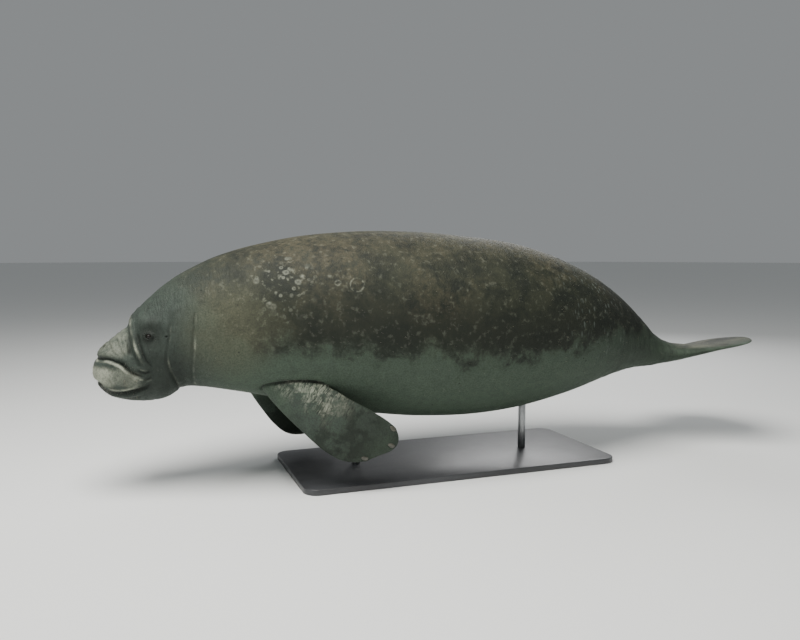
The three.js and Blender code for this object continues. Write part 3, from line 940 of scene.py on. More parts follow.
def root_crease(shape, root, dark):
    """Smooths a flipper into the body and folds the skin over the top of its root, with painted
    shade along the fold.
    """
    curve = smooth_loop(body_skin(root.place, root.turn) + np.array([0, 0, BELLY_HEIGHT]))
    low, high = curve.min(axis=0) - 0.05, curve.max(axis=0) + 0.05
    for width in (0.020, 0.010):
        close = boxed(shape, low, high)
        away, _ = curve_distance(close, curve)
        band = {vert for vert, distance in zip(close, away) if distance < width}
        edges = [edge for edge in shape.edges if edge.verts[0] in band and edge.verts[1] in band]
        bmesh.ops.subdivide_edges(shape, edges=edges, cuts=1, use_grid_fill=True)
    close = boxed(shape, low, high)
    away, _ = curve_distance(close, curve)
    for width, rounds in ((0.030, 10), (0.016, 24)):
        band = [vert for vert, distance in zip(close, away) if distance < width]
        for _ in range(rounds):
            bmesh.ops.smooth_vert(
                shape, verts=band, factor=0.5, use_axis_x=True, use_axis_y=True, use_axis_z=True
            )
    shape.normal_update()
    away, nearest = curve_distance(close, curve)
    outer = np.repeat(eased(-0.15, 0.35, -np.sin(root.angle)), 3)
    normals = [vert.normal.copy() for vert in close]
    for vert, distance, index, normal in zip(close, away, nearest, normals):
        weight = outer[index] * math.exp(-((distance / 0.0060) ** 2))
        vert.co -= normal * 0.0065 * weight
        vert[dark] = max(vert[dark], outer[index] * math.exp(-((distance / 0.0042) ** 2)))


def smooth_loop(points):
    """A closed curve through points, three times as fine."""
    count = len(points)
    wanted = np.arange(3 * count) / 3 + 2
    rows = np.concatenate([points[-2:], points, points[:3]])
    return np.stack([through(rows[:, axis], wanted) for axis in range(3)], -1)


def boxed(shape, low, high):
    """Vertices in a box."""
    verts = list(shape.verts)
    points = np.array([vert.co for vert in verts])
    inside = np.all((points > low) & (points < high), axis=1)
    return [verts[index] for index in np.flatnonzero(inside)]


def curve_distance(verts, curve):
    points = np.array([vert.co for vert in verts])
    square = np.sum((points[:, None] - curve[None]) ** 2, axis=-1)
    return np.sqrt(square.min(axis=1)), square.argmin(axis=1)


def skin_shape():
    """The whole skin in one mesh: the body's grid with both flippers grown out of it."""
    places = ring_places()
    rings = len(places) - 1
    place = np.repeat(places[:, None], SECTORS, axis=1)
    turn = np.repeat((2 * math.pi * np.arange(SECTORS) / SECTORS)[None], rings + 1, axis=0)
    roots = [BladeRoot(side, places) for side in SIDES]
    for root in roots:
        root.relax(place, turn)
    points = body_skin(place, turn)
    height, shade_marks, pale_marks = body_relief(points)
    points = points + grid_normals(points) * height[..., None]
    points[0] = points[1].mean(axis=0)
    points[-1] = points[-2].mean(axis=0)

    shape = bmesh.new()
    # dark holds painted shade in folds, hollows and holes; pale holds pale skin, partly painted
    # highlight
    dark = shape.verts.layers.float.new("dark")
    pale = shape.verts.layers.float.new("pale")
    blade = shape.verts.layers.float.new("blade")
    edge = shape.verts.layers.float.new("edge")
    lift = np.array([0, 0, BELLY_HEIGHT])
    table = ball_grid(shape, rings, SECTORS)
    set_places(table, points + lift)
    for vert, shade_mark, pale_mark in zip(table.ravel(), shade_marks.ravel(), pale_marks.ravel()):
        vert[dark] = shade_mark
        vert[pale] = pale_mark
    doomed = []
    for root in roots:
        first_ring, last_ring, first_sector, last_sector = root.corners
        doomed += list(table[first_ring + 1 : last_ring, first_sector + 1 : last_sector].ravel())
        blade_table = ball_grid(shape, BLADE_RINGS, len(root.loop))
        ring, sector = root.loop.T
        blade_points, blade_marks = root.blade(points[ring, sector])
        set_places(blade_table, blade_points + lift)
        for vert, (step_mark, edge_mark) in zip(blade_table.ravel(), blade_marks.reshape(-1, 2)):
            vert[blade] = step_mark
            vert[edge] = edge_mark
        doomed.append(blade_table[0, 0])
    bmesh.ops.delete(shape, geom=doomed, context="VERTS")
    bmesh.ops.remove_doubles(shape, verts=shape.verts, dist=1e-6)
    bmesh.ops.recalc_face_normals(shape, faces=shape.faces)
    for root in roots:
        root_crease(shape, root, dark)
    for side in SIDES:
        shape.normal_update()
        shape_lids(shape, side, dark)
        shape_ears(shape, side, dark)
    shape_cuticles(shape, dark)
    return shape


# Finishes


def operation(name, swapped=False):
    """A method that joins two values with one Math node."""

    def join(self, other):
        first, second = (other, self) if swapped else (self, other)
        return self.finish.value("ShaderNodeMath", {"operation": name}, {0: first, 1: second})

    return join


class Value:
    """A number that varies over a surface. Arithmetic on it adds Math nodes."""

    def __init__(self, finish, socket):
        self.finish = finish
        self.socket = socket

    __add__ = operation("ADD")
    __radd__ = operation("ADD", swapped=True)
    __sub__ = operation("SUBTRACT")
    __rsub__ = operation("SUBTRACT", swapped=True)
    __mul__ = operation("MULTIPLY")
    __rmul__ = operation("MULTIPLY", swapped=True)
    most = operation("MAXIMUM")

    def eased(self, low, high):
        """0 at low, 1 at high, smooth between."""
        sockets = {"Value": self, "From Min": low, "From Max": high, "To Min": 0.0, "To Max": 1.0}
        settings = {"interpolation_type": "SMOOTHSTEP", "clamp": True}
        return self.finish.value("ShaderNodeMapRange", settings, sockets)


class Finish:
    """A material and the nodes that make it."""

    def __init__(self, name, **constants):
        self.material = bpy.data.materials.new(name)
        self.material.use_nodes = True
        self.tree = self.material.node_tree
        self.shader = next(node for node in self.tree.nodes if node.type == "BSDF_PRINCIPLED")
        for name, constant in constants.items():
            socket = name.replace("_", " ").title().replace("Ior", "IOR")
            self.shader.inputs[socket].default_value = constant
        self.here = self.add("ShaderNodeTexCoord").outputs["Object"]

    def add(self, kind, settings=(), sockets=()):
        """A node of any type, with its settings made first and then its sockets set or linked."""
        node = self.tree.nodes.new(kind)
        for key, setting in dict(settings).items():
            setattr(node, key, setting)
        for key, source in dict(sockets).items():
            if isinstance(source, Value):
                source = source.socket
            if isinstance(source, bpy.types.NodeSocket):
                self.tree.links.new(source, node.inputs[key])
            else:
                node.inputs[key].default_value = source
        return node

    def value(self, kind, settings=(), sockets=(), output=0):
        return Value(self, self.add(kind, settings, sockets).outputs[output])

    def axes(self):
        """The place on the object, as three values."""
        node = self.add("ShaderNodeSeparateXYZ", {}, {0: self.here})
        return [Value(self, output) for output in node.outputs]

    def stretched(self, scale, turn=(0.0, 0.0, 0.0)):
        sockets = {"Vector": self.here, "Scale": scale, "Rotation": turn}
        return self.add("ShaderNodeMapping", {}, sockets).outputs[0]

    def joined(self, *values):
        """A texture place made of three values."""
        return self.add("ShaderNodeCombineXYZ", {}, dict(enumerate(values))).outputs[0]

    def grain(self, scale, detail=3.0, roughness=0.5, distortion=0.0, where=None):
        sockets = {
            "Vector": where or self.here,
            "Scale": scale,
            "Detail": detail,
            "Roughness": roughness,
            "Distortion": distortion,
        }
        return self.value("ShaderNodeTexNoise", {}, sockets)

    def cells(self, scale, feature="F1", output="Distance", where=None):
        sockets = {"Vector": where or self.here, "Scale": scale}
        return self.value("ShaderNodeTexVoronoi", {"feature": feature}, sockets, output)

    def mark(self, name):
        """A value painted on the mesh."""
        return self.value("ShaderNodeAttribute", {"attribute_name": name}, {}, "Fac")

    def distance(self, centre):
        sockets = {0: self.here, 1: centre}
        return self.value("ShaderNodeVectorMath", {"operation": "DISTANCE"}, sockets, "Value")

    def mix(self, share, first, second):
        settings = {"data_type": "RGBA", "clamp_factor": True}
        return self.add("ShaderNodeMix", settings, {0: share, 6: first, 7: second}).outputs[2]

    def bump(self, height, distance, strength=1.0):
        """Relief that feeds the shader's normal."""
        sockets = {"Height": height, "Distance": distance, "Strength": strength}
        self.feed("Normal", self.add("ShaderNodeBump", {}, sockets).outputs[0])

    def feed(self, socket, source):
        if isinstance(source, Value):
            source = source.socket
        self.tree.links.new(source, self.shader.inputs[socket])


def opaque(colour, brightness=1.0):
    return (*(brightness * part for part in colour), 1.0)


def ridged(grain):
    """A grain's distance from its middle value, 0 along thin lines."""
    return (grain - 0.5).most(0.5 - grain)


class Hide(Finish):
    """Thick wrinkled hide, built up from large areas of colour to small marks, painted shade and
    painted light among them.
    """

    def __init__(self):
        super().__init__("manatee_hide", specular_ior_level=0.26)
        self.look = bpy.context.scene.manatee_skin
        self.x, self.y, z = self.axes()
        self.height = z - BELLY_HEIGHT
        self.broad = self.grain(2.6, detail=2.0)
        self.patches = self.grain(9.0, detail=5.0, roughness=0.62, distortion=0.4)
        self.mottle = self.grain(34.0, detail=5.0, roughness=0.68)
        self.speckle = self.grain(170.0, detail=3.0, roughness=0.6)
        self.blot = (self.mottle * 0.62 + self.grain(58.0, detail=4.0) * 0.5).eased(0.60, 0.72)
        self.pale_skin_and_light = opaque(self.look.pale)
        self.shade_and_dark_skin = opaque(self.look.shade_and_dark_skin)
        self.shade = opaque(self.look.back_shade)
        rough_face = self.mottle.eased(0.30, 0.70) * 0.6
        self.face = self.mix(rough_face, opaque(self.look.face), opaque(self.look.face, 0.5))
        self.back = self.back_colour()
        self.border = self.border_height()
        self.upper = (self.height - self.border).eased(-0.05, 0.08)
        self.blade = self.mark("blade")
        self.edge = self.mark("edge")
        self.colour = self.base_colour()

    def cover(self, share, colour):
        """Lays a colour over all that is there."""
        self.colour = self.mix(share, self.colour, colour)

    def area(self, name, side):
        (x, y, height), start, full = AREAS[name]
        return self.distance((x, y * side, BELLY_HEIGHT + height)).eased(start, full)

    def back_colour(self):
        dark_share = (self.patches + self.mottle * 0.45).eased(0.52, 0.92)
        tan_share = (self.broad + self.patches * 0.6).eased(0.76, 1.02) * self.mottle.eased(0.35, 0.65)
        back = self.mix(dark_share, self.shade, opaque(self.look.back))
        return self.mix(tan_share * 0.55, back, opaque(self.look.tan))

    def border_height(self):
        """The ragged border between back and belly."""
        ragged = 0.350 + 0.20 * self.x.eased(-0.95, -1.22)
        ragged = ragged + (self.patches - 0.5) * 0.26 + (self.broad - 0.5) * 0.14
        ragged = ragged + (self.mottle - 0.5) * 0.16
        return ragged - self.x.eased(-0.50, -0.10) * self.x.eased(0.55, 0.20) * 0.05

    def base_colour(self):
        belly_share = self.mottle.eased(0.30, 0.70) * 0.45
        below = self.mix(belly_share, opaque(self.look.belly), opaque(self.look.face))
        return self.mix(self.upper, below, self.back)

    def flanks(self):
        """A dark band along the border, tan on the top of the back and a grey front."""
        above = self.height - self.border
        band = above.eased(-0.03, 0.06) * above.eased(0.26, 0.06)
        self.cover(band * self.x.eased(-0.95, -0.45) * 0.74, self.shade)
        crown = self.height.eased(0.62, 0.80) * self.mottle.eased(0.30, 0.60)
        self.cover(crown * 0.35, opaque(self.look.tan))
        self.cover(self.x.eased(-0.95, -1.22) * (1.0 - self.upper * 0.45), self.face)

    def tail(self):
        """A darker rump, and the paddle with the back's colour above and the belly's below. The pale
        patches on the paddle's top are partly painted light from above.
        """
        x = self.x
        self.cover(x.eased(0.42, 0.78) * self.height.eased(0.10, 0.30) * 0.45, self.shade)
        middle = PADDLE_LEVEL + (x - PADDLE_BEND).most(0.0) * PADDLE_RISE
        above = self.height - middle + self.y * PADDLE_ROLL
        rays = self.grain(1.0, roughness=0.6, where=self.stretched((9.0, 80.0, 9.0)))
        # Pale patches on the paddle's top, partly painted light from above
        pale_mottle_and_light = (self.patches * 0.9 + rays * 0.25).eased(0.42, 0.78)
        top = self.mix(pale_mottle_and_light * 0.20, self.back, self.pale_skin_and_light)
        under = self.mix(self.patches.eased(0.35, 0.65) * 0.6, opaque(self.look.belly), self.shade)
        self.cover(x.eased(1.00, 1.12), self.mix(above.eased(-0.004, 0.008), under, top))

    def spots(self):
        """Pale rings in two sizes, each in some of the cells."""
        total = 0.0
        for size, rare in ((25.0, 0.60), (43.0, 0.50)):
            away = self.cells(size) + (self.mottle - 0.5) * 0.35
            spot = away.eased(0.40, 0.24) * (0.30 + 0.70 * away.eased(0.05, 0.22))
            total = spot * self.cells(size, output="Color").eased(rare, rare + 0.08) + total
        return total

    def sides(self):
        """Marks of both sides, fainter on the right, with painted shade round the eyes and on the
        cheeks. Gives the bruise on the lip pads.
        """
        patches, mottle = self.patches, self.mottle
        bruise = 0.0
        spots = self.spots()
        for side, share in ((-1.0, 1.0), (1.0, RIGHT_MARKS)):
            shoulder = self.area("shoulder", side) * share
            self.cover((self.blot * 0.22 + spots * 0.32) * shoulder, self.pale_skin_and_light)
            # Painted shade: dark round the eye and on the cheek behind the mouth
            self.cover(self.area("eye", side) * (0.35 + 0.6 * patches), self.shade_and_dark_skin)
            self.cover(self.area("cheek", side) * (0.35 + 0.45 * patches), self.shade_and_dark_skin)
            bruise = self.area("lip_pad", side) * mottle.eased(0.36, 0.58) + bruise
            self.cover(self.area("neck", side) * (0.25 + 0.55 * mottle), opaque(self.look.olive))
            streaks = self.cells(1.0, where=self.stretched((62.0, 40.0, 20.0), (0.0, 0.45, 0.0)))
            streaks = streaks.eased(0.36, 0.16) * patches.eased(0.40, 0.60)
            self.cover(streaks * self.area("rump", side) * share * 0.48, opaque(self.look.streak))
        return bruise

    def scars(self):
        """Faint blotches of the back and the ring scars."""
        self.cover(self.blot * self.upper * 0.10, self.pale_skin_and_light)
        for centre, radius in SCARS:
            beyond = self.distance(centre) + (self.mottle - 0.5) * 0.020 - radius
            scar = beyond.eased(-0.005, 0.0) * beyond.eased(0.005, 0.0)
            self.cover(scar * self.mottle.eased(0.40, 0.58) * 0.30, self.pale_skin_and_light)

    def pits(self):
        """Small dark pits, each in some of the cells."""
        deep = self.cells(24.0).eased(0.11, 0.05)
        deep = deep * self.cells(24.0, output="Color").eased(0.58, 0.66)
        self.cover(deep * 0.75, self.shade_and_dark_skin)
        return deep

    def folds(self):
        """Fine folds across the body, with painted shade in them at the tail stock."""
        lines = ridged(self.grain(1.0, roughness=0.55, where=self.stretched((70.0, 13.0, 13.0))))
        stock = self.x.eased(0.94, 1.02) * self.x.eased(1.16, 1.06)
        self.cover(lines.eased(0.030, 0.0) * stock * 0.55, self.shade_and_dark_skin)
        return lines

    def blades(self, on_blade):
        """The flippers, with a pale wrinkled fan at the root. Gives the fan and its wrinkles."""
        patches, mottle, blade, edge = self.patches, self.mottle, self.blade, self.edge
        grey = self.mix(patches.eased(0.35, 0.65), self.face, opaque(self.look.belly))
        self.cover(on_blade * 0.75, grey)
        smudge = (patches + mottle * 0.4).eased(0.58, 0.74)
        smudge = smudge * blade.eased(0.16, 0.30) * blade.eased(0.72, 0.50)
        self.cover(smudge * 0.75, self.shade_and_dark_skin)
        self.cover(blade.eased(0.30, 0.55) * (0.30 + 0.35 * patches), self.shade)
        height = self.height + BELLY_HEIGHT
        across = self.joined(blade * 62.0, self.x * 7.0 + edge * 1.2, height * 7.0)
        wrinkles = ridged(self.grain(1.0, detail=2.0, where=across))
        fan = blade.eased(0.02, 0.10) * blade.eased(0.46, 0.25) * edge.eased(0.65, -0.15)
        glow = fan * (patches * 0.6 + mottle * 0.6).eased(0.50, 0.70)
        self.cover(glow * wrinkles.eased(0.0, 0.05) * 0.60, self.pale_skin_and_light)
        # Painted shade in the troughs of the fan's wrinkles
        self.cover(fan * patches.eased(0.3, 0.5) * wrinkles.eased(0.030, 0.0) * 0.42, self.shade_and_dark_skin)
        return fan, wrinkles

    def painted(self, bruise):
        """The marks of the mesh: pale skin with painted highlights on fold edges and lip pads, and
        painted shade in creases, hollows and holes.
        """
        pale = self.mark("pale")
        # Pale skin with painted highlights on fold edges and painted light on the lip pads
        pale_and_highlight = (pale * (0.35 + 1.3 * self.mottle)).eased(0.08, 0.85)
        stain = self.patches.eased(0.50, 0.68) * pale.eased(0.6, 0.3)
        self.cover(pale_and_highlight * (1.0 - 0.6 * stain) * 0.85, self.pale_skin_and_light)
        self.cover(bruise * 0.62, self.shade_and_dark_skin)
        self.cover(self.speckle.eased(0.60, 0.35) * 0.35, self.shade)
        # Painted shade in creases, hollows and holes
        self.cover(self.mark("dark") * 0.92, self.shade_and_dark_skin)


def hide_finish():
    """The hide, from the back's and the belly's colour to its relief."""
    hide = Hide()
    hide.flanks()
    hide.tail()
    # Painted light: a paler top of the snout, where it faces the light above
    nose = hide.x.eased(-1.355, -1.395) * hide.height.eased(0.32, 0.36)
    hide.cover(nose * hide.mottle.eased(0.25, 0.60) * 0.30, hide.pale_skin_and_light)
    bruise = hide.sides()
    hide.scars()
    pits = hide.pits()
    folds = hide.folds()
    on_blade = hide.blade.eased(0.0, 0.10)
    fan, wrinkles = hide.blades(on_blade)
    hide.painted(bruise)
    hide.feed("Base Color", hide.colour)
    hide.feed("Roughness", 0.50 + 0.22 * hide.mottle + 0.10 * hide.speckle)

    net = hide.cells(85.0, "DISTANCE_TO_EDGE", where=hide.stretched((1.25, 1.0, 0.8)))
    fine_net = hide.cells(230.0, "DISTANCE_TO_EDGE")
    uneven = hide.patches.eased(0.3, 0.7)
    loose = hide.x.eased(-0.80, -1.10).most(hide.x.eased(0.45, 0.75)).most(on_blade)
    relief = folds.eased(0.0, 0.10) * (0.08 + (0.22 + 0.25 * uneven) * loose)
    relief = relief + net.eased(0.0, 0.16) * (0.32 - 0.20 * uneven)
    relief = relief + fine_net.eased(0.0, 0.14) * 0.12 + hide.mottle * 0.5
    relief = relief + hide.speckle * 0.18 - pits * 0.6
    relief = relief + fan * wrinkles.eased(0.0, 0.08) * 0.9
    hide.bump(relief, hide.look.wrinkle, 0.65)
    return hide.material


def eye_finish(centre, outward):
    """A dark wet eye with a soft brown ring round the pupil."""
    finish = Finish(
        "manatee_eye", roughness=0.30, specular_ior_level=0.25, coat_weight=0.2, coat_roughness=0.04
    )
    pupil = (0.004, 0.004, 0.005, 1.0)
    iris = (0.011, 0.008, 0.006, 1.0)
    iris_fibre = (0.015, 0.010, 0.007, 1.0)
    rim = (0.020, 0.016, 0.013, 1.0)
    away = finish.distance(tuple(centre + outward))
    colour = finish.mix(away.eased(0.0042, 0.0052), pupil, iris)
    fibres = finish.grain(900.0, detail=2.0)
    colour = finish.mix(fibres.eased(0.4, 0.7) * 0.5, colour, iris_fibre)
    colour = finish.mix(away.eased(0.0078, 0.0098), colour, rim)
    finish.feed("Base Color", colour)
    return finish.material


def nail_finish():
    """Horn with faint growth lines."""
    finish = Finish("manatee_nail", coat_weight=0.15, coat_roughness=0.25)
    streaks = finish.grain(1.0, detail=3.0, where=finish.stretched((90.0, 60.0, 420.0)))
    tint = finish.grain(110.0, detail=2.0)
    dark = (0.040, 0.040, 0.029, 1.0)
    light = (0.078, 0.076, 0.056, 1.0)
    stain = (0.030, 0.030, 0.022, 1.0)
    colour = finish.mix(streaks.eased(0.35, 0.65), dark, light)
    colour = finish.mix(tint.eased(0.45, 0.65) * 0.5, colour, stain)
    finish.feed("Base Color", colour)
    finish.feed("Roughness", 0.32 + 0.22 * streaks)
    finish.bump(streaks, 0.0006, 0.5)
    return finish.material


def bristle_finish():
    """Pale stiff bristle, darker along its length here and there."""
    finish = Finish("manatee_bristle", roughness=0.45)
    tint = finish.grain(160.0, detail=2.0)
    straw = (0.30, 0.27, 0.20, 1.0)
    brown = (0.12, 0.105, 0.08, 1.0)
    finish.feed("Base Color", finish.mix(tint.eased(0.35, 0.65), straw, brown))
    return finish.material


def board_finish():
    """Dark satin lacquer over a faint wood grain."""
    look = bpy.context.scene.manatee_stand
    finish = Finish("stand_lacquer", coat_weight=0.25, coat_roughness=0.22)
    bands = finish.grain(1.0, detail=5.0, roughness=0.6, where=finish.stretched((3.0, 46.0, 46.0)))
    pores = finish.grain(1.0, detail=2.0, where=finish.stretched((60.0, 900.0, 900.0)))
    colour = finish.mix(bands.eased(0.35, 0.68), opaque(look.board), opaque(look.board, 1.7))
    dust = finish.grain(14.0, detail=4.0)
    finish.feed("Base Color", finish.mix(dust.eased(0.55, 0.8) * 0.12, colour, (0.12, 0.12, 0.12, 1.0)))
    finish.feed("Roughness", 0.34 + 0.10 * bands + 0.10 * dust)
    finish.bump(pores.eased(0.55, 0.30) * 0.7 + bands * 0.3, 0.0005, 0.4)
    return finish.material


def steel_finish():
    """Steel brushed round the rod."""
    look = bpy.context.scene.manatee_stand
    finish = Finish("stand_steel", metallic=1.0)
    brushing = finish.grain(1.0, detail=3.0, roughness=0.7, where=finish.stretched((22.0, 22.0, 1500.0)))
    smudge = finish.grain(30.0, detail=3.0)
    darker = opaque(look.steel, 0.72)
    finish.feed("Base Color", finish.mix(brushing.eased(0.35, 0.65), darker, opaque(look.steel)))
    finish.feed("Roughness", 0.26 + 0.12 * brushing + 0.08 * smudge)
    finish.bump(brushing, 0.0003, 0.35)
    return finish.material


def floor_finish():
    """Plain matt studio floor."""
    look = bpy.context.scene.manatee_studio
    return Finish("studio_floor", base_color=opaque(look.floor), roughness=0.9).material


# Operators, one for each piece or group of like pieces


class MANATEE_OT_skin(bpy.types.Operator):
    """Skin of the whole animal in one piece"""

    bl_idname = "manatee.skin"
    bl_label = "Skin"

    def execute(self, context):
        skin = finished("skin", skin_shape(), hide_finish())
        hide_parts(*FLESH_NODES)
        return {"FINISHED"}


class MANATEE_OT_eyes(bpy.types.Operator):
    """Both eyes"""

    bl_idname = "manatee.eyes"
    bl_label = "Eyes"

    def execute(self, context):
        for side in SIDES:
            centre, radius = eye_ball(side)
            outward = Vector((-0.25, SIDES[side], 0.05)).normalized() * radius
            shape = bmesh.new()
            bmesh.ops.create_uvsphere(shape, u_segments=48, v_segments=28, radius=radius)
            bmesh.ops.translate(shape, verts=shape.verts, vec=centre)
            eye = finished(f"eyeball_{side}", shape, eye_finish(centre, outward))
            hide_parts(f"eye_{side}")
        return {"FINISHED"}


def fitted(node):
    """Middle, directions and half sizes of a solid, from its longest to its thinnest."""
    points = np.array([vert.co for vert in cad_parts[node].data.vertices])
    middle = (points.max(axis=0) + points.min(axis=0)) / 2
    spread = np.cov((np.unique(points.round(7), axis=0) - middle).T)
    _, directions = np.linalg.eigh(spread)
    directions = directions[:, ::-1]
    if np.linalg.det(directions) < 0:
        directions[:, 2] *= -1
    reach = (points - middle) @ directions
    return Vector(middle), directions, (reach.max(axis=0) - reach.min(axis=0)) / 2


class MANATEE_OT_nails(bpy.types.Operator):
    """Three nails on each flipper"""

    bl_idname = "manatee.nails"
    bl_label = "Nails"

    def execute(self, context):
        horn = nail_finish()
        nodes = sorted(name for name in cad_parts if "_nail_" in name)
        for node in nodes:
            middle, directions, half = fitted(node)
            shape = bmesh.new()
            bmesh.ops.create_uvsphere(shape, u_segments=32, v_segments=20, radius=1.0)
            bmesh.ops.scale(shape, verts=shape.verts, vec=half)
            for vert in shape.verts:
                along = vert.co.x / half[0]
                vert.co.y *= 1 - 0.18 * along
                vert.co.z *= 1 - 0.25 * along * along
            turn = Matrix([list(row) for row in directions]).to_4x4()
            bmesh.ops.transform(shape, matrix=Matrix.Translation(middle) @ turn, verts=shape.verts)
            bmesh.ops.recalc_face_normals(shape, faces=shape.faces)
            nail = finished(f"horn_{node}", shape, horn)
            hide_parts(node)
        return {"FINISHED"}


def strand_template(shape):
    """A thin three-sided spike along +Z, one long and one thick, cut so that it can bend."""
    made = bmesh.ops.create_cone(shape, cap_ends=True, segments=3, radius1=1.0, radius2=0.12, depth=1.0)
    bmesh.ops.translate(shape, verts=made["verts"], vec=(0, 0, 0.5))
    uprights = [edge for edge in shape.edges if abs(edge.verts[0].co.z - edge.verts[1].co.z) > 0.5]
    bmesh.ops.subdivide_edges(shape, edges=uprights, cuts=2)
    bmesh.ops.triangulate(shape, faces=shape.faces)
    return [*shape.verts, *shape.edges, *shape.faces]


def strands(name, roots, thickness, finish):
    """Many bent spikes in one mesh. Each root has its point, outward direction, lean and length."""
    shape = bmesh.new()
    layer = shape.loops.layers.uv.new("OFBake")
    template = strand_template(shape)
    for origin, outward, lean, length in roots:
        side = lean.cross(outward).normalized()
        over = outward.cross(side)
        left, low = skin_map(origin)
        copied = bmesh.ops.duplicate(shape, geom=template)["geom"]
        for face in (part for part in copied if isinstance(part, bmesh.types.BMFace)):
            for corner in face.loops:
                place = corner.vert.co
                corner[layer].uv = (left + BAKE_PATCH * (place.x / 4 + 0.5), low + BAKE_PATCH * place.z)
        for vert in (part for part in copied if isinstance(part, bmesh.types.BMVert)):
            across, depth, along = vert.co
            bend = thickness * depth + 0.55 * length * along * along
            height = 0.85 * length * along - ROOT_SUNK
            vert.co = origin + side * (thickness * across) + over * bend + outward * height
    corners = [part for part in template if isinstance(part, bmesh.types.BMVert)]
    bmesh.ops.delete(shape, geom=corners, context="VERTS")
    return finished(name, shape, finish)


def skin_map(point):
    """Where a point of the skin lies on its unwrapping along and round the body."""
    names = np.arange(len(STATION_ROWS))
    middle_x = (STATION_ROWS[:, 0] + STATION_ROWS[:, 2]) / 2
    middle_z = (STATION_ROWS[:, 1] + STATION_ROWS[:, 3]) / 2
    place = np.interp(point.x, middle_x, names)
    turn = math.atan2(point.z - BELLY_HEIGHT - np.interp(place, names, middle_z), point.y)
    along = (point.x - MAP_START) / MAP_LENGTH
    return MAP_MARGIN + MAP_SIZE * along, MAP_MARGIN + MAP_SIZE * (turn / (2 * math.pi) + 0.5)


def in_order(point):
    """A key that puts points in one order, whatever order the mesh lists them in."""
    return tuple(round(part, 5) for part in point)


def skin_samples(wanted, accept, seed):
    """Random points of the skin with their outward directions."""
    mesh = bpy.data.objects["skin"].data
    draw = random.Random(seed)
    accepted = [face for face in mesh.polygons if accept(face.center)]
    faces = sorted(accepted, key=lambda face: in_order(face.center))
    chosen = draw.choices(faces, [face.area for face in faces], k=wanted)
    samples = []
    for face in chosen:
        corners = sorted((mesh.vertices[index].co for index in face.vertices), key=in_order)
        shares = [draw.random() + 0.05 for _ in corners]
        point = sum((corner * share for corner, share in zip(corners, shares)), Vector()) / sum(shares)
        samples.append((point, face.normal.copy(), draw))
    return samples


def on_lips(centre):
    """Lip pads and chin, where the bristles stand."""
    height = centre.z - BELLY_HEIGHT
    return centre.x < -1.345 and 0.165 < height < 0.318


def on_body(centre):
    """Where single hairs stand: the body and head, clear of flippers, mouth and paddle's rim."""
    height = centre.z - BELLY_HEIGHT
    clear_of_flippers = height > 0.30 or centre.x < -1.02 or centre.x > -0.30
    return -1.44 < centre.x < 1.30 and clear_of_flippers and not on_lips(centre)


class MANATEE_OT_hairs(bpy.types.Operator):
    """Bristles of the muzzle and single hairs of the body"""

    bl_idname = "manatee.hairs"
    bl_label = "Bristles and hairs"

    def execute(self, context):
        look = context.scene.manatee_hair
        finish = bristle_finish()
        bristles = []
        for point, outward, draw in skin_samples(look.bristle_count, on_lips, BRISTLE_SEED):
            lean = Vector((draw.uniform(-0.2, 0.5), draw.uniform(-0.3, 0.3), -0.8))
            bristles.append((point, outward, lean, look.bristle_length * draw.uniform(0.55, 1.15)))
        strands("muzzle_bristles", bristles, BRISTLE_RADIUS, finish)
        hairs = []
        for point, outward, draw in skin_samples(look.hair_count, on_body, HAIR_SEED):
            lean = Vector((1.0, draw.uniform(-0.25, 0.25), draw.uniform(-0.3, 0.1)))
            hairs.append((point, outward, lean, look.hair_length * draw.uniform(0.6, 1.2)))
        strands("body_hairs", hairs, HAIR_RADIUS, finish)
        return {"FINISHED"}


def rounded(shape, edges, reach, steps):
    """Rounds edges of the stand."""
    bmesh.ops.bevel(
        shape, geom=edges, offset=reach, segments=steps, profile=0.5, affect="EDGES", material=-1
    )


def sharp_edges(shape):
    """Edges of the stand that are still square."""
    return [edge for edge in shape.edges if abs(edge.calc_face_angle(0.0)) > 1.2]


class MANATEE_OT_stand(bpy.types.Operator):
    """Board and rods of the display stand"""

    bl_idname = "manatee.stand"
    bl_label = "Display stand"

    def execute(self, context):
        look = context.scene.manatee_stand
        low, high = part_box("stand_base")
        shape = bmesh.new()
        bmesh.ops.create_cube(shape, size=1.0)
        bmesh.ops.scale(shape, verts=shape.verts, vec=high - low)
        bmesh.ops.translate(shape, verts=shape.verts, vec=(low + high) / 2)
        corners = [edge for edge in shape.edges if abs(edge.verts[0].co.z - edge.verts[1].co.z) > 0.01]
        rounded(shape, corners, look.corner, 20)
        rounded(shape, sharp_edges(shape), look.edge, 3)
        board = finished("display_board", shape, board_finish())
        board.data.set_sharp_from_angle(angle=SMOOTH_BELOW)
        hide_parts("stand_base")
        steel = steel_finish()
        for end in ("front", "rear"):
            low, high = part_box(f"stand_rod_{end}")
            shape = bmesh.new()
            radius = (high.x - low.x) / 2
            height = high.z - low.z + ROD_SUNK
            bmesh.ops.create_cone(
                shape, cap_ends=True, segments=72, radius1=radius, radius2=radius, depth=height
            )
            middle = (low + high) / 2
            bmesh.ops.translate(shape, verts=shape.verts, vec=(middle.x, middle.y, low.z + height / 2))
            rounded(shape, sharp_edges(shape), ROD_ROUNDING, 2)
            rod = finished(f"display_rod_{end}", shape, steel)
            rod.data.set_sharp_from_angle(angle=SMOOTH_BELOW)
            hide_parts(f"stand_rod_{end}")
        return {"FINISHED"}


def area_light(name, place, aim, size, watts, tint):
    light = bpy.data.lights.new(name, "AREA")
    light.shape = "DISK"
    light.size = size
    light.energy = watts
    light.color = tint
    lamp = bpy.data.objects.new(name, light)
    lamp.location = place
    lamp.rotation_euler = (Vector(aim) - Vector(place)).to_track_quat("-Z", "Y").to_euler()
    bpy.context.scene.collection.objects.link(lamp)


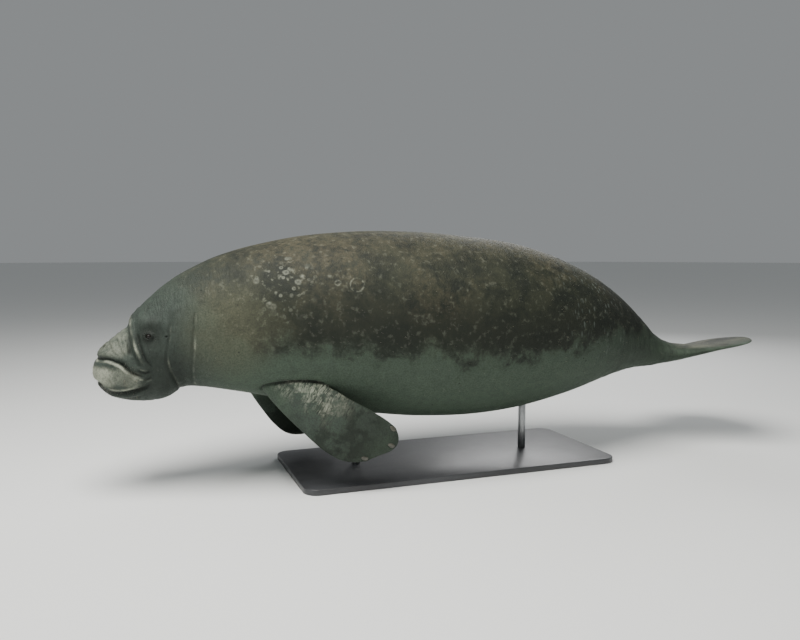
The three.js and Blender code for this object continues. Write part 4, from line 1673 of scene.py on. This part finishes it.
class MANATEE_OT_studio(bpy.types.Operator):
    """Floor, light and camera"""

    bl_idname = "manatee.studio"
    bl_label = "Studio"

    def execute(self, context):
        look = context.scene.manatee_studio
        shape = bmesh.new()
        bmesh.ops.create_circle(shape, cap_ends=True, segments=96, radius=FLOOR_RADIUS)
        mesh = bpy.data.meshes.new("floor")
        shape.to_mesh(mesh)
        shape.free()
        mesh.materials.append(floor_finish())
        floor = bpy.data.objects.new("floor", mesh)
        context.scene.collection.objects.link(floor)

        world = bpy.data.worlds.new("studio_surround")
        world.use_nodes = True
        background = world.node_tree.nodes["Background"]
        background.inputs["Color"].default_value = opaque(look.sky)
        background.inputs["Strength"].default_value = SURROUND_STRENGTH
        context.scene.world = world
        for name, (place, aim, size, tint) in LIGHTS.items():
            area_light(f"{name}_light", place, aim, size, getattr(look, name), tint)

        lens = bpy.data.cameras.new("camera")
        lens.lens = CAMERA_LENS
        lens.sensor_width = SENSOR_WIDTH
        lens.clip_end = CAMERA_SIGHT
        camera = bpy.data.objects.new("camera", lens)
        camera.location = CAMERA_PLACE
        camera.rotation_euler = (math.pi / 2 - CAMERA_DIP, 0.0, CAMERA_TURN)
        context.scene.collection.objects.link(camera)
        context.scene.camera = camera
        return {"FINISHED"}


OPERATORS = (
    MANATEE_OT_skin,
    MANATEE_OT_eyes,
    MANATEE_OT_nails,
    MANATEE_OT_hairs,
    MANATEE_OT_stand,
    MANATEE_OT_studio,
)
SETTINGS = {
    "manatee_skin": SkinSettings,
    "manatee_hair": HairSettings,
    "manatee_stand": StandSettings,
    "manatee_studio": StudioSettings,
}


class MANATEE_PT_model(bpy.types.Panel):
    """Lists the model's pieces and their settings."""

    bl_idname = "MANATEE_PT_model"
    bl_label = "Manatee"
    bl_space_type = "VIEW_3D"
    bl_region_type = "UI"
    bl_category = "Manatee"

    def draw(self, context):
        for operator in OPERATORS:
            self.layout.operator(operator.bl_idname)
        for name, group in SETTINGS.items():
            settings = getattr(context.scene, name)
            for field in group.__annotations__:
                self.layout.prop(settings, field)


def register():
    for group in SETTINGS.values():
        bpy.utils.register_class(group)
    for name, group in SETTINGS.items():
        setattr(bpy.types.Scene, name, PointerProperty(type=group))
    for operator in OPERATORS:
        bpy.utils.register_class(operator)
    bpy.utils.register_class(MANATEE_PT_model)


def unregister():
    bpy.utils.unregister_class(MANATEE_PT_model)
    for operator in reversed(OPERATORS):
        bpy.utils.unregister_class(operator)
    for name in SETTINGS:
        delattr(bpy.types.Scene, name)
    for group in SETTINGS.values():
        bpy.utils.unregister_class(group)


def main():
    register()
    bpy.ops.manatee.skin()
    bpy.ops.manatee.eyes()
    bpy.ops.manatee.nails()
    bpy.ops.manatee.hairs()
    bpy.ops.manatee.stand()
    bpy.ops.manatee.studio()


if __name__ == "__main__":
    main()
